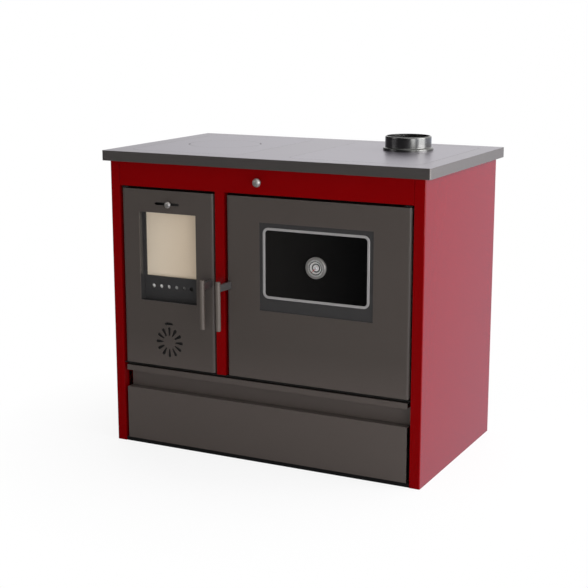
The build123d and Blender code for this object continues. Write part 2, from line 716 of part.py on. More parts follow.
# Drawer rails on the base tray
with BuildPart() as drawer_rails:
    for side in (-1, 1):
        rail_x = side * (post_inner - RAIL_BAR_INSET)
        block(
            (rail_x - RAIL_BAR_W / 2, rail_x + RAIL_BAR_W / 2),
            (DRAWER_RETURN + RAIL_BAR_SETBACK, drawer_box_front + DRAWER_BOX_D),
            (BASE_T, BASE_T + RAIL_BAR_H),
        )
keep(drawer_rails, "drawer_rails")

# Hinge pins, two in the deck and two in the lugs above the doors
lug_z = (door_top + (DOOR_TOP_GAP - LUG_T) / 2, door_top + (DOOR_TOP_GAP + LUG_T) / 2)
with BuildPart() as hinge_pins:
    for pin_x in hinge_x.values():
        rod_up(pin_x, HINGE_INSET, (deck_bottom, door_bottom + PIN_GRIP), PIN_R)
        rod_up(pin_x, HINGE_INSET, (deck_top, door_bottom - DOOR_REST), PIN_COLLAR_R)
        rod_up(pin_x, HINGE_INSET, (door_top - PIN_GRIP, lug_z[1]), PIN_R)
keep(hinge_pins, "hinge_pins")

# Lugs on the front plate that hold the upper pins
with BuildPart() as hinge_lugs:
    for pin_x in hinge_x.values():
        block((pin_x - LUG_W / 2, pin_x + LUG_W / 2), (DECK_SETBACK, plate_front), lug_z)
        rod_up(pin_x, HINGE_INSET, lug_z, PIN_R, mode=Mode.SUBTRACT)
keep(hinge_lugs, "hinge_lugs")

# Guide in the rail for the damper rod
with BuildPart() as damper_guide:
    rod_back(DAMPER_X, damper_z, (0, GUIDE_LENGTH), GUIDE_NECK_R)
    rod_back(DAMPER_X, damper_z, (SHEET, SHEET + GUIDE_FLANGE_T), GUIDE_FLANGE_R)
    rod_back(DAMPER_X, damper_z, (0, GUIDE_LENGTH), DAMPER_ROD_R + PIN_FIT, mode=Mode.SUBTRACT)
keep(damper_guide, "damper_guide")

# Damper rod, from inside the knob to the plate
with BuildPart() as damper_rod:
    rod_back(DAMPER_X, damper_z, (-KNOB_CLEAR - KNOB_SOCKET, damper_front + DAMPER_PLATE_T), DAMPER_ROD_R)
keep(damper_rod, "damper_rod")

# Damper knob
with BuildPart() as damper_knob:
    turned_knob(DAMPER_X, damper_z, -KNOB_CLEAR, KNOB_HEAD_R, KNOB_NECK_R, KNOB_LENGTH)
    rod_back(DAMPER_X, damper_z, (-KNOB_CLEAR - KNOB_SOCKET, -KNOB_CLEAR), DAMPER_ROD_R, mode=Mode.SUBTRACT)
keep(damper_knob, "damper_knob")

# Damper plate in front of the bypass opening
with BuildPart() as damper_plate:
    block(
        (DAMPER_X - DAMPER_OPEN_W / 2 - DAMPER_LAP, DAMPER_X + DAMPER_OPEN_W / 2 + DAMPER_LAP),
        (damper_front, damper_front + DAMPER_PLATE_T),
        (damper_z - DAMPER_OPEN_H / 2 - DAMPER_LAP, damper_z + DAMPER_OPEN_H / 2 + DAMPER_LAP),
    )
    rod_back(
        DAMPER_X,
        damper_z,
        (damper_front, damper_front + DAMPER_PLATE_T),
        DAMPER_ROD_R,
        mode=Mode.SUBTRACT,
    )
keep(damper_plate, "damper_plate")


def door_tray(x, pin_x):
    """A door skin: a folded tray with rounded upright edges and a bored boss at each hinge pin."""
    block(x, (0, DOOR_DEPTH), door_z)
    fillet(edges().filter_by(Axis.Z).group_by(Axis.Y)[0], DOOR_EDGE_R)
    offset(amount=-DOOR_SHEET, openings=faces().sort_by(Axis.Y)[-1])
    for boss_z in ((door_bottom, door_bottom + PIN_GRIP), (door_top - PIN_GRIP, door_top)):
        rod_up(pin_x, HINGE_INSET, boss_z, HINGE_BOSS_R)
        rod_up(pin_x, HINGE_INSET, boss_z, PIN_R + PIN_FIT, mode=Mode.SUBTRACT)


def door_liner(x, spindle_x):
    """A door's back plate, with the tube that the handle spindle turns in."""
    liner_depth = (DOOR_DEPTH - LINER_T, DOOR_DEPTH)
    block(
        (x[0] + DOOR_SHEET, x[1] - DOOR_SHEET),
        liner_depth,
        (door_bottom + DOOR_SHEET, door_top - DOOR_SHEET),
    )
    rod_back(spindle_x, HANDLE_Z, (DOOR_EDGE_R, DOOR_DEPTH), SPINDLE_TUBE_R)
    rod_back(spindle_x, HANDLE_Z, (DOOR_EDGE_R, DOOR_DEPTH), SPINDLE_R + PIN_FIT, mode=Mode.SUBTRACT)


def door_seal(x):
    """A rope seal round a door's mouth."""
    ring_plate(
        ((x[0] + x[1]) / 2, (door_bottom + door_top) / 2),
        (x[1] - x[0] - 2 * SEAL_INSET, DOOR_H - 2 * SEAL_INSET),
        (x[1] - x[0] - 2 * (SEAL_INSET + SEAL_W), DOOR_H - 2 * (SEAL_INSET + SEAL_W)),
        SEAL_CORNER_R,
        (DOOR_DEPTH, plate_front - SEAL_FIT),
    )


# One teardrop of the air rosette, lying along x from the rosette's centre
with BuildSketch(Plane.XY) as teardrop:
    with Locations((ROSETTE_INNER, 0)):
        Circle(ROSETTE_INNER_R)
    with Locations((ROSETTE_OUTER, 0)):
        Circle(ROSETTE_OUTER_R)
    make_hull()


def rosette(depth, thickness, turn=0.0):
    """The ring of teardrop air slots, cut through a plate and turned by some degrees."""
    with BuildSketch(upright(depth)) as slots:
        with Locations((fire_mid, ROSETTE_Z)):
            with PolarLocations(0, ROSETTE_SLOTS, start_angle=turn):
                add(teardrop.sketch)
    extrude(slots.sketch, amount=-thickness, mode=Mode.SUBTRACT)


# Fire door skin
with BuildPart() as fire_door_skin:
    door_tray(fire_x, hinge_x["fire"])
    block(
        window_x,
        (0, DOOR_SHEET),
        window_z,
        mode=Mode.SUBTRACT,
    )
    with BuildSketch(upright(0)):
        with Locations((fire_mid, slide_z)):
            SlotOverall(SLIDE_SLOT_W, SLIDE_SLOT_H)
    extrude(amount=-DOOR_SHEET, mode=Mode.SUBTRACT)
    rosette(0, DOOR_SHEET)
    tab_sweep = REGISTER_TURN + TAB_SLOT_SPARE
    tab_arc = CenterArc((0, 0), TAB_RADIUS, 90 - tab_sweep / 2, tab_sweep, mode=Mode.PRIVATE)
    with BuildSketch(upright(0)):
        with Locations((fire_mid, ROSETTE_Z)):
            SlotArc(tab_arc, TAB_SLOT_H)
    extrude(amount=-DOOR_SHEET, mode=Mode.SUBTRACT)
    rod_back(handle_x["fire"], HANDLE_Z, (0, DOOR_EDGE_R), SPINDLE_R + PIN_FIT, mode=Mode.SUBTRACT)
    # Guides for the air slide, folded over its upper and lower edge
    guide_x = (fire_mid - SLIDE_PLATE_W / 2, fire_mid + SLIDE_PLATE_W / 2)
    lip_front = slide_front + SLIDE_PLATE_T + SLIDE_FIT
    for toward in (-1, 1):
        wall = slide_z + toward * (SLIDE_PLATE_H / 2 + SLIDE_FIT)
        block(guide_x, (DOOR_SHEET, lip_front + GUIDE_T), sorted((wall, wall + toward * GUIDE_WALL)))
        block(guide_x, (lip_front, lip_front + GUIDE_T), sorted((wall - toward * GUIDE_LIP, wall)))
    # Stud that the air register turns on, with its retaining head
    head_front = register_front + REGISTER_T + SLIDE_FIT
    rod_back(fire_mid, ROSETTE_Z, (DOOR_SHEET, head_front), REGISTER_PIN_R)
    rod_back(fire_mid, ROSETTE_Z, (head_front, head_front + REGISTER_HEAD_T), REGISTER_HEAD_R)
keep(fire_door_skin, "fire_door_skin")

# Fire door liner with the glass opening, the row of air holes and the primary-air port
with BuildPart() as fire_door_liner:
    door_liner(fire_x, handle_x["fire"])
    liner_depth = (DOOR_DEPTH - LINER_T, DOOR_DEPTH)
    block(
        view_x,
        liner_depth,
        view_z,
        mode=Mode.SUBTRACT,
    )
    with BuildSketch(upright(liner_depth[0])):
        with Locations((fire_mid, air_hole_z)):
            with GridLocations(AIR_HOLE_SPACING, AIR_HOLE_SPACING, AIR_HOLE_COUNT, 1):
                Circle(AIR_HOLE_R)
    extrude(amount=-LINER_T, mode=Mode.SUBTRACT)
    rod_back(fire_mid, ROSETTE_Z, liner_depth, AIR_PORT_R, mode=Mode.SUBTRACT)
keep(fire_door_liner, "fire_door_liner")

# Reveal that lines the window opening between the skin and the liner
with BuildPart() as fire_window_frame:
    reveal_depth = (DOOR_SHEET, DOOR_DEPTH - LINER_T)
    reveal_z = window_z
    block(
        (window_x[0] - REVEAL_T, window_x[1] + REVEAL_T),
        reveal_depth,
        (reveal_z[0] - REVEAL_T, reveal_z[1] + REVEAL_T),
    )
    block(window_x, reveal_depth, reveal_z, mode=Mode.SUBTRACT)
keep(fire_window_frame, "fire_window_frame")

# Ceramic glass of the fire door
with BuildPart() as fire_glass:
    block(glass_x, (glass_front, glass_back), glass_z)
keep(fire_glass, "fire_glass")

# Flat gasket between the liner and the glass
with BuildPart() as fire_glass_gasket:
    block(glass_x, (DOOR_DEPTH, glass_front), glass_z)
    block(
        view_x,
        (DOOR_DEPTH, glass_front),
        view_z,
        mode=Mode.SUBTRACT,
    )
keep(fire_glass_gasket, "fire_glass_gasket")

# Clips that press the glass on its gasket
with BuildPart() as fire_glass_clips:
    for side, edge in ((-1, glass_x[0]), (1, glass_x[1])):
        for clip_z in (glass_z[0] + CLIP_INSET, glass_z[1] - CLIP_INSET):
            clip_span = (clip_z - CLIP_W / 2, clip_z + CLIP_W / 2)
            leg = edge + side * FIT
            block(sorted((leg, leg + side * CLIP_T)), (DOOR_DEPTH, glass_back + CLIP_T), clip_span)
            block(sorted((leg, leg + side * CLIP_FOOT)), (DOOR_DEPTH, DOOR_DEPTH + CLIP_T), clip_span)
            block(
                sorted((leg + side * CLIP_T, edge - side * CLIP_LAP)),
                (glass_back, glass_back + CLIP_T),
                clip_span,
            )
keep(fire_glass_clips, "fire_glass_clips")

# Deflector behind the air holes, which turns the air up along the glass
with BuildPart() as air_deflector:
    deflector_half = AIR_HOLE_COUNT * AIR_HOLE_SPACING / 2 + DEFLECTOR_END
    deflector_x = (fire_mid - deflector_half, fire_mid + deflector_half)
    web_z = air_hole_z - DEFLECTOR_DROP
    blade = DOOR_DEPTH + DEFLECTOR_GAP
    block(deflector_x, (DOOR_DEPTH, blade), (web_z, web_z + DEFLECTOR_T))
    block(deflector_x, (DOOR_DEPTH, DOOR_DEPTH + DEFLECTOR_T), (web_z - DEFLECTOR_DROP, web_z))
    block(deflector_x, (blade, blade + DEFLECTOR_T), (web_z, air_hole_z + DEFLECTOR_RISE))
keep(air_deflector, "air_deflector")

# Rope seals of the two doors
with BuildPart() as fire_door_seal:
    door_seal(fire_x)
keep(fire_door_seal, "fire_door_seal")
with BuildPart() as oven_door_seal:
    door_seal(oven_x)
keep(oven_door_seal, "oven_door_seal")

# Air slide behind the slot, with a window as long as the slot
with BuildPart() as air_slide_plate:
    slide_half = SLIDE_PLATE_W / 2
    slide_depth = (slide_front, slide_front + SLIDE_PLATE_T)
    block(
        (fire_mid - slide_half, fire_mid + slide_half),
        slide_depth,
        (slide_z - SLIDE_PLATE_H / 2, slide_z + SLIDE_PLATE_H / 2),
    )
    with BuildSketch(upright(slide_depth[0])):
        with Locations((fire_mid - slide_half + SLIDE_SLOT_W / 2, slide_z)):
            SlotOverall(SLIDE_SLOT_W - SLIDE_SLOT_H, SLIDE_SLOT_H)
    extrude(amount=-SLIDE_PLATE_T, mode=Mode.SUBTRACT)
    rod_back(slide_knob_x, slide_z, (-AIR_KNOB_CLEAR, slide_front), KNOB_STEM_R)
keep(air_slide_plate, "air_slide_plate")

# Knob of the air slide
with BuildPart() as air_slide_knob:
    turned_knob(
        slide_knob_x, slide_z, -AIR_KNOB_CLEAR, AIR_KNOB_HEAD_R, AIR_KNOB_NECK_R, AIR_KNOB_LENGTH
    )
keep(air_slide_knob, "air_slide_knob")

# Primary-air register, shut: a disc with the same slots half a step round, turned by a tab in the arc slot
with BuildPart() as air_register:
    register_depth = (register_front, register_front + REGISTER_T)
    rod_back(fire_mid, ROSETTE_Z, register_depth, REGISTER_R)
    rod_back(fire_mid, ROSETTE_Z, register_depth, REGISTER_PIN_R + PIN_FIT, mode=Mode.SUBTRACT)
    rosette(register_front, REGISTER_T, REGISTER_TURN)
    with BuildSketch(upright(-TAB_REACH)):
        with Locations((fire_mid, ROSETTE_Z)):
            with PolarLocations(TAB_RADIUS, 1, start_angle=tab_turn):
                Circle(TAB_R)
    extrude(amount=-TAB_REACH - register_front)
keep(air_register, "air_register")

# Oven door skin with the opening for the window plate
with BuildPart() as oven_door_skin:
    door_tray(oven_x, hinge_x["oven"])
    block(oven_window_x, (0, DOOR_SHEET), oven_window_z, mode=Mode.SUBTRACT)
    rod_back(handle_x["oven"], HANDLE_Z, (0, DOOR_EDGE_R), SPINDLE_R + PIN_FIT, mode=Mode.SUBTRACT)
keep(oven_door_skin, "oven_door_skin")

# Oven door liner with the view opening
with BuildPart() as oven_door_liner:
    door_liner(oven_x, handle_x["oven"])
    block(
        (trim_x - TRIM_W / 2 + TRIM_BAND, trim_x + TRIM_W / 2 - TRIM_BAND),
        (DOOR_DEPTH - LINER_T, DOOR_DEPTH),
        (trim_z - TRIM_H / 2 + TRIM_BAND, trim_z + TRIM_H / 2 - TRIM_BAND),
        mode=Mode.SUBTRACT,
    )
keep(oven_door_liner, "oven_door_liner")

# Dark window plate behind the oven door skin
oven_glass_w = TRIM_W - 2 * TRIM_BAND + 2 * OVEN_GLASS_LAP
oven_glass_h = TRIM_H - 2 * TRIM_BAND + 2 * OVEN_GLASS_LAP
oven_glass_r = TRIM_R - TRIM_BAND + OVEN_GLASS_LAP
with BuildPart() as oven_window_plate:
    block(
        (oven_window_x[0] - OVEN_PLATE_LAP, oven_window_x[1] + OVEN_PLATE_LAP),
        (DOOR_SHEET, 2 * DOOR_SHEET),
        (oven_window_z[0] - OVEN_PLATE_LAP, oven_window_z[1] + OVEN_PLATE_LAP),
    )
    with BuildSketch(upright(DOOR_SHEET)):
        with Locations((trim_x, trim_z)):
            RectangleRounded(
                oven_glass_w + 2 * OVEN_GLASS_FIT,
                oven_glass_h + 2 * OVEN_GLASS_FIT,
                oven_glass_r + OVEN_GLASS_FIT,
            )
    extrude(amount=-DOOR_SHEET, mode=Mode.SUBTRACT)
keep(oven_window_plate, "oven_window_plate")

# Bright trim ring round the oven glass
with BuildPart() as oven_window_trim:
    ring_plate(
        (trim_x, trim_z),
        (TRIM_W, TRIM_H),
        (TRIM_W - 2 * TRIM_BAND, TRIM_H - 2 * TRIM_BAND),
        TRIM_R,
        (0, DOOR_SHEET),
    )
    fillet(faces().sort_by(Axis.Y)[0].edges(), TRIM_EDGE_R)
keep(oven_window_trim, "oven_window_trim")

# Oven glass with the hole for the thermometer
with BuildPart() as oven_glass:
    with BuildSketch(upright(oven_glass_front)):
        with Locations((trim_x, trim_z)):
            RectangleRounded(oven_glass_w, oven_glass_h, oven_glass_r)
        with Locations((dial_x, trim_z)):
            Circle(CASE_BODY_R + FIT, mode=Mode.SUBTRACT)
    extrude(amount=-GLASS_T)
keep(oven_glass, "oven_glass")

# Retainer that holds the glass from behind
with BuildPart() as oven_glass_retainer:
    ring_plate(
        (trim_x, trim_z),
        (oven_glass_w + 2 * RETAINER_BAND, oven_glass_h + 2 * RETAINER_BAND),
        (oven_glass_w + 2 * OVEN_GLASS_FIT, oven_glass_h + 2 * OVEN_GLASS_FIT),
        oven_glass_r + RETAINER_BAND,
        (2 * DOOR_SHEET, oven_glass_back + RETAINER_T),
    )
    ring_plate(
        (trim_x, trim_z),
        (oven_glass_w + 2 * RETAINER_BAND, oven_glass_h + 2 * RETAINER_BAND),
        (oven_glass_w - 2 * RETAINER_LAP, oven_glass_h - 2 * RETAINER_LAP),
        oven_glass_r + RETAINER_BAND,
        (oven_glass_back, oven_glass_back + RETAINER_T),
    )
keep(oven_glass_retainer, "oven_glass_retainer")

# Thermometer case: a bezel on the glass, a body through it and a stem into the oven
dial_back = oven_glass_front - LENS_T
lens_front = -CASE_PROUD + CASE_LIP_T
with BuildPart() as thermometer_case:
    rod_back(dial_x, trim_z, (-CASE_PROUD, oven_glass_front), CASE_R)
    fillet(faces().sort_by(Axis.Y)[0].edges(), CASE_LIP)
    rod_back(dial_x, trim_z, (-CASE_PROUD, lens_front), DIAL_R - CASE_LIP, mode=Mode.SUBTRACT)
    rod_back(dial_x, trim_z, (lens_front, dial_back), DIAL_R, mode=Mode.SUBTRACT)
    rod_back(dial_x, trim_z, (oven_glass_front, oven_glass_front + CASE_BODY_DEPTH), CASE_BODY_R)
    rod_back(dial_x, trim_z, (oven_glass_front, oven_glass_front + STEM_DEPTH), STEM_R)
keep(thermometer_case, "thermometer_case")

# Thermometer dial with the needle's pin
needle_back = dial_back - DIAL_T - SLIDE_FIT
with BuildPart() as thermometer_dial:
    rod_back(dial_x, trim_z, (dial_back - DIAL_T, dial_back), DIAL_R)
    rod_back(dial_x, trim_z, (needle_back - NEEDLE_T, dial_back), NEEDLE_PIN_R)
keep(thermometer_dial, "thermometer_dial")

# Thermometer needle, at the cold end of its scale
with BuildPart() as thermometer_needle:
    with BuildSketch(upright(needle_back - NEEDLE_T)):
        with Locations(Location((dial_x, trim_z), NEEDLE_START)):
            Circle(NEEDLE_HUB_R)
            with Locations(((NEEDLE_LEN - NEEDLE_TAIL) / 2, 0)):
                Rectangle(NEEDLE_LEN + NEEDLE_TAIL, NEEDLE_W)
            Circle(NEEDLE_PIN_R + PIN_FIT, mode=Mode.SUBTRACT)
    extrude(amount=-NEEDLE_T)
keep(thermometer_needle, "thermometer_needle")

# Thermometer lens behind the bezel's lip
with BuildPart() as thermometer_lens:
    rod_back(dial_x, trim_z, (lens_front, lens_front + LENS_T), DIAL_R)
keep(thermometer_lens, "thermometer_lens")

# Handles: a slanting arm with its spindle, an upright bar and a latch tongue that stands up while released
latch_front = DOOR_DEPTH + LATCH_CLEAR
for door, mid_x in handle_x.items():
    with BuildPart() as handle_arm:
        with BuildSketch(level(HANDLE_Z - ARM_H / 2)):
            with BuildLine():
                Polyline(
                    (mid_x - ARM_W / 2, -ARM_CLEAR),
                    (mid_x + ARM_W / 2, -ARM_CLEAR),
                    (bar_x[door] + ARM_W / 2, -HANDLE_STANDOFF),
                    (bar_x[door] - ARM_W / 2, -HANDLE_STANDOFF),
                    close=True,
                )
            make_face()
        extrude(amount=ARM_H)
        fillet(edges().filter_by(Axis.X, reverse=True).filter_by(Axis.Z, reverse=True), ARM_EDGE_R)
        rod_back(mid_x, HANDLE_Z, (-ARM_CLEAR, latch_front + LATCH_T + SPINDLE_END), SPINDLE_R)
        rod_up(bar_x[door], -HANDLE_STANDOFF, (BAR_BOTTOM, BAR_TOP), BAR_R, mode=Mode.SUBTRACT)
    keep(handle_arm, f"{door}_handle_arm")

    with BuildPart() as handle_grip:
        rod_up(bar_x[door], -HANDLE_STANDOFF, (BAR_BOTTOM, BAR_TOP), BAR_R)
        chamfer(edges().filter_by(GeomType.CIRCLE), BAR_CHAMFER)
    keep(handle_grip, f"{door}_handle_grip")

    latch_reach = abs(MULLION_X - mid_x) - LATCH_MEET_GAP / 2
    with BuildPart() as latch:
        rod_back(mid_x, HANDLE_Z, (latch_front, latch_front + LATCH_T), LATCH_HUB_R)
        block(
            (mid_x - LATCH_W / 2, mid_x + LATCH_W / 2),
            (latch_front, latch_front + LATCH_T),
            (HANDLE_Z, HANDLE_Z + latch_reach),
        )
        rod_back(mid_x, HANDLE_Z, (latch_front, latch_front + LATCH_T), SPINDLE_R, mode=Mode.SUBTRACT)
    keep(latch, f"{door}_latch")

# Drawer front, one folded sheet with a lip, a finger recess and a panel
drawer_x = (-post_inner + DRAWER_SIDE_GAP, post_inner - DRAWER_SIDE_GAP)
drawer_side = Plane(origin=(drawer_x[0], front_y, 0), x_dir=(0, 1, 0), z_dir=(1, 0, 0))
lip_bottom = drawer_top - DRAWER_LIP_H
panel_top = lip_bottom - DRAWER_RECESS_H
with BuildPart() as drawer_front:
    with BuildSketch(drawer_side):
        for inset, mode in ((0, Mode.ADD), (DRAWER_SHEET, Mode.SUBTRACT)):
            with BuildLine():
                Polyline(
                    (DRAWER_RETURN, drawer_top - inset),
                    (inset, drawer_top - inset),
                    (inset, lip_bottom + inset),
                    (DRAWER_RECESS_D + inset, lip_bottom + inset),
                    (DRAWER_RECESS_D + inset, panel_top - inset),
                    (inset, panel_top - inset),
                    (inset, PLINTH_H + inset),
                    (DRAWER_RETURN, PLINTH_H + inset),
                    close=True,
                )
            make_face(mode=mode)
    extrude(amount=drawer_x[1] - drawer_x[0])
keep(drawer_front, "drawer_front")

# Drawer box that rides on the rails
with BuildPart() as drawer_box:
    block(
        drawer_x,
        (drawer_box_front, drawer_box_front + DRAWER_BOX_D),
        (BASE_T + RAIL_BAR_H + RAIL_FIT, drawer_top - DRAWER_SHEET),
    )
    offset(amount=-DRAWER_BOX_SHEET, openings=faces().sort_by(Axis.Z)[-1])
keep(drawer_box, "drawer_box")
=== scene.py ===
# %% [markdown]
# Wood cookstove, a lesson in dressing a steel object.
# The stove's plates, doors, handles and knobs come as finished solids at their real size, so nothing here
# moves or resizes them. What a photograph adds is the finish of each surface, the soft seals, the
# printing on the dial and a few fasteners. Those are what the cells below make, one finish or one piece
# at a time.

# %% Load the solids
import math

import bmesh
import bpy
from mathutils import Matrix, Vector


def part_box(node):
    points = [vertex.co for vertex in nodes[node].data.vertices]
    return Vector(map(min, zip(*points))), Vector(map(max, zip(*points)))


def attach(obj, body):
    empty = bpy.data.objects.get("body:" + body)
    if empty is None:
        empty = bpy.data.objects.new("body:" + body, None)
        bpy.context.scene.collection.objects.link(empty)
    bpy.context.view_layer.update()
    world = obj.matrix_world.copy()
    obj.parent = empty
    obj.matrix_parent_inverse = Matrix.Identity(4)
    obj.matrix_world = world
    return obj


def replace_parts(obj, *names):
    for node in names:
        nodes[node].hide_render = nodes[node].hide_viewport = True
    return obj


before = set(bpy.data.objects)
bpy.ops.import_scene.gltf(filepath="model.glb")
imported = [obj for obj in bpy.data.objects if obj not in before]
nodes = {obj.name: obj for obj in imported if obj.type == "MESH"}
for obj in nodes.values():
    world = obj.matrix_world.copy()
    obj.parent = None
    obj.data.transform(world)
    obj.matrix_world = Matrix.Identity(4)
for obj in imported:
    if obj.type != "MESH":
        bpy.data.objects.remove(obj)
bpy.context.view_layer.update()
scene = bpy.context.scene

# %% [markdown]
# Camera first.
# The stove is seen from the oven side, a little above its top, through a long lens, so its upright edges
# hardly lean. Place, turn and focal length were found by matching the stove's corners in the picture, and
# a square picture of 588 pixels is assumed. No shift and no depth of field are needed.

# %% Camera
CAMERA_PLACE = (1.6444, -3.3209, 1.2337)
CAMERA_TURN = 26.667
CAMERA_DIP = 12.205
CAMERA_LENS = 80.26
SENSOR_WIDTH = 36.0

camera_data = bpy.data.cameras.new("camera")
camera_data.lens = CAMERA_LENS
camera_data.sensor_width = SENSOR_WIDTH
camera = bpy.data.objects.new("camera", camera_data)
camera.location = CAMERA_PLACE
camera.rotation_euler = (math.radians(90 - CAMERA_DIP), 0, math.radians(CAMERA_TURN))
scene.collection.objects.link(camera)
scene.camera = camera
print("camera", CAMERA_LENS, "mm at", CAMERA_PLACE)

# %% [markdown]
# A workbench for node trees.
# Every finish below is a small tree of nodes, and so is the light of the room. Blender makes a node in
# one call and sets or links each of its sockets in another, which soon fills a page. This class does both
# at once, so that a tree reads as a few short lines.

# %% Workbench for node trees
# A Mix node has number, vector and colour sockets of the same names, so they are picked by place.
MIX_FACTOR, MIX_FIRST, MIX_SECOND, MIX_RESULT = 0, 6, 7, 2


class NodeBench:
    """A tree of shader nodes, with short ways to add the few kinds that are used here."""

    def __init__(self, tree):
        self.tree = tree

    def feed(self, socket, value):
        """Links a socket to another one, or writes a plain value on it."""
        if isinstance(value, bpy.types.NodeSocket):
            self.tree.links.new(value, socket)
        else:
            socket.default_value = value

    def node(self, kind, values=None, **settings):
        """A new node with its settings made and some of its sockets set or linked."""
        made = self.tree.nodes.new(kind)
        for name, value in settings.items():
            setattr(made, name, value)
        for name, value in (values or {}).items():
            self.feed(made.inputs[name], value)
        return made

    def span(self, factor, low, high, start=0.0, end=1.0):
        """Maps a pattern from start and end onto two plain numbers."""
        values = {"Value": factor, "From Min": start, "From Max": end, "To Min": low, "To Max": high}
        return self.node("ShaderNodeMapRange", values).outputs["Result"]

    def blend(self, factor, first, second):
        """Mixes two colours by a pattern."""
        values = {MIX_FACTOR: factor, MIX_FIRST: first, MIX_SECOND: second}
        return self.node("ShaderNodeMix", values, data_type="RGBA").outputs[MIX_RESULT]

    def times(self, first, second):
        """Multiplies two patterns."""
        return self.node("ShaderNodeMath", {0: first, 1: second}, operation="MULTIPLY").outputs[0]

    def length(self, vector):
        """How long a vector is."""
        return self.node("ShaderNodeVectorMath", {0: vector}, operation="LENGTH").outputs["Value"]

    def agreement(self, first, second):
        """How far two directions agree, as their dot product."""
        values = {0: first, 1: second}
        return self.node("ShaderNodeVectorMath", values, operation="DOT_PRODUCT").outputs["Value"]


# %% [markdown]
# What a finish is made of.
# In a finish, a pattern on the piece's own coordinates drives colour, roughness and a little relief,
# while numbers that are the same all over go straight onto the shader. Noise makes clouds and grain,
# cells make crystals and specks, and waves make strands.

# %% Finish helper
CLOUD_DETAIL = 3.0
EDGE_LIKENESS = (0.75, 0.98)


def seen(red, green, blue):
    """A colour as it reads on a screen, 0 to 255, turned into light values by the sRGB curve."""
    levels = [value / 255 for value in (red, green, blue)]
    light = [v / 12.92 if v <= 0.04045 else ((v + 0.055) / 1.055) ** 2.4 for v in levels]
    return (*light, 1.0)


class Finish(NodeBench):
    """One procedural material: its node tree, its shader and the patterns that feed it."""

    def __init__(self, name):
        self.material = bpy.data.materials.new(name)
        self.material.use_nodes = True
        super().__init__(self.material.node_tree)
        self.shader = self.tree.nodes["Principled BSDF"]
        self.place = self.node("ShaderNodeTexCoord").outputs["Object"]

    def set(self, values):
        """Writes or links the shader's own sockets."""
        for name, value in values.items():
            self.feed(self.shader.inputs[name], value)

    def stretched(self, stretch, turn=(0.0, 0.0, 0.0)):
        """The piece's coordinates, stretched or turned, for grain that runs one way."""
        values = {"Vector": self.place, "Scale": stretch, "Rotation": turn}
        return self.node("ShaderNodeMapping", values).outputs["Vector"]

    def noise(self, scale, detail=CLOUD_DETAIL, place=None):
        """Soft cloudy pattern, scale in lumps per metre."""
        values = {"Vector": place or self.place, "Scale": scale, "Detail": detail}
        return self.node("ShaderNodeTexNoise", values).outputs[0]

    def cells(self, scale, output="Distance"):
        """Pattern of cells, scale in cells per metre."""
        values = {"Vector": self.place, "Scale": scale}
        return self.node("ShaderNodeTexVoronoi", values).outputs[output]

    def bands(self, scale, place):
        """Straight even waves along the x of the given coordinates."""
        return self.node("ShaderNodeTexWave", {"Vector": place, "Scale": scale}).outputs["Fac"]

    def across(self, node, start=0.0, end=1.0, axis=0):
        """Goes from 0 to 1 along an axis, between two shares of a solid's box."""
        low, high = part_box(node)
        along = self.node("ShaderNodeSeparateXYZ", {"Vector": self.place}).outputs[axis]
        length = high[axis] - low[axis]
        return self.span(along, 0.0, 1.0, low[axis] + start * length, low[axis] + end * length)

    def edges(self, radius):
        """1 on sharp edges, 0 on flat faces, from how much a rounded normal leaves the true one."""
        round_normal = self.node("ShaderNodeBevel", {"Radius": radius}).outputs["Normal"]
        true_normal = self.node("ShaderNodeNewGeometry").outputs["True Normal"]
        return self.span(self.agreement(round_normal, true_normal), 1.0, 0.0, *EDGE_LIKENESS)

    def relief(self, height, strength, depth):
        """Turns a pattern into relief, its depth in metres."""
        values = {"Height": height, "Strength": strength, "Distance": depth}
        self.set({"Normal": self.node("ShaderNodeBump", values).outputs["Normal"]})


# %% [markdown]
# Finishes that drift.
# Many finishes are alike: two tones drift into each other in soft clouds, and the gloss drifts in a haze
# of its own. Those start from one function and add only what sets them apart. A second function puts a
# finish on solids of the stove and says which ones it dressed.


# %% Helpers for dressing
def drifting(name, dark, pale, clouds, gloss, haze, cloud_detail=CLOUD_DETAIL, haze_detail=CLOUD_DETAIL):
    """A finish whose colour drifts in clouds between two tones, and its roughness in a haze."""
    finish = Finish(name)
    finish.set({
        "Base Color": finish.blend(finish.noise(clouds, cloud_detail), dark, pale),
        "Roughness": finish.span(finish.noise(haze, haze_detail), *gloss),
    })
    return finish


finishes = {}


def dress(finish, *names):
    """Puts a finish on solids of the stove."""
    for name in names:
        for holder in nodes[name].material_slots:
            holder.material = finish.material
        finishes[name] = finish.material.name
    print(finish.material.name, "on", ", ".join(names))


# %% [markdown]
# Red enamel.
# The cabinet is sheet steel in a smooth, deep red baked enamel. A flat red would look like plastic, so
# the red drifts slowly over the sheet, the gloss is a little uneven, and very fine relief gives it the
# orange peel that sprayed enamel has.

# %% Red enamel on the cabinet
PEEL_DEPTH = 0.0004

red = drifting("red_enamel", seen(118, 0, 2), seen(124, 0, 3), clouds=2.5, gloss=(0.10, 0.15), haze=30.0)
red.set({"IOR": 1.45})
red.relief(red.noise(420.0, detail=1.0), strength=0.05, depth=PEEL_DEPTH)
dress(red, "left_side_panel", "right_side_panel", "top_rail", "mullion")

# %% [markdown]
# Anthracite paint.
# The doors and the drawer carry a warm dark grey heat-proof paint with a satin surface. Fine flakes make
# it sparkle slightly, and handled edges are rubbed a touch paler. The edge mask compares a rounded normal
# with the true one, so it follows any shape and needs no drawn map. Low in the cabinet, where the drawer
# is, the paint is a shade paler as painted light for the dim light near the floor: the height in the
# cabinet mixes two pairs of flakes.

# %% Anthracite paint on the doors and the drawer
FLAKE_SCALE = 1600.0
EDGE_RADIUS = 0.0012
RUBBED_SHARE = 0.5
LOW_PAINTED_LIGHT_SPAN = (0.25, 0.4)

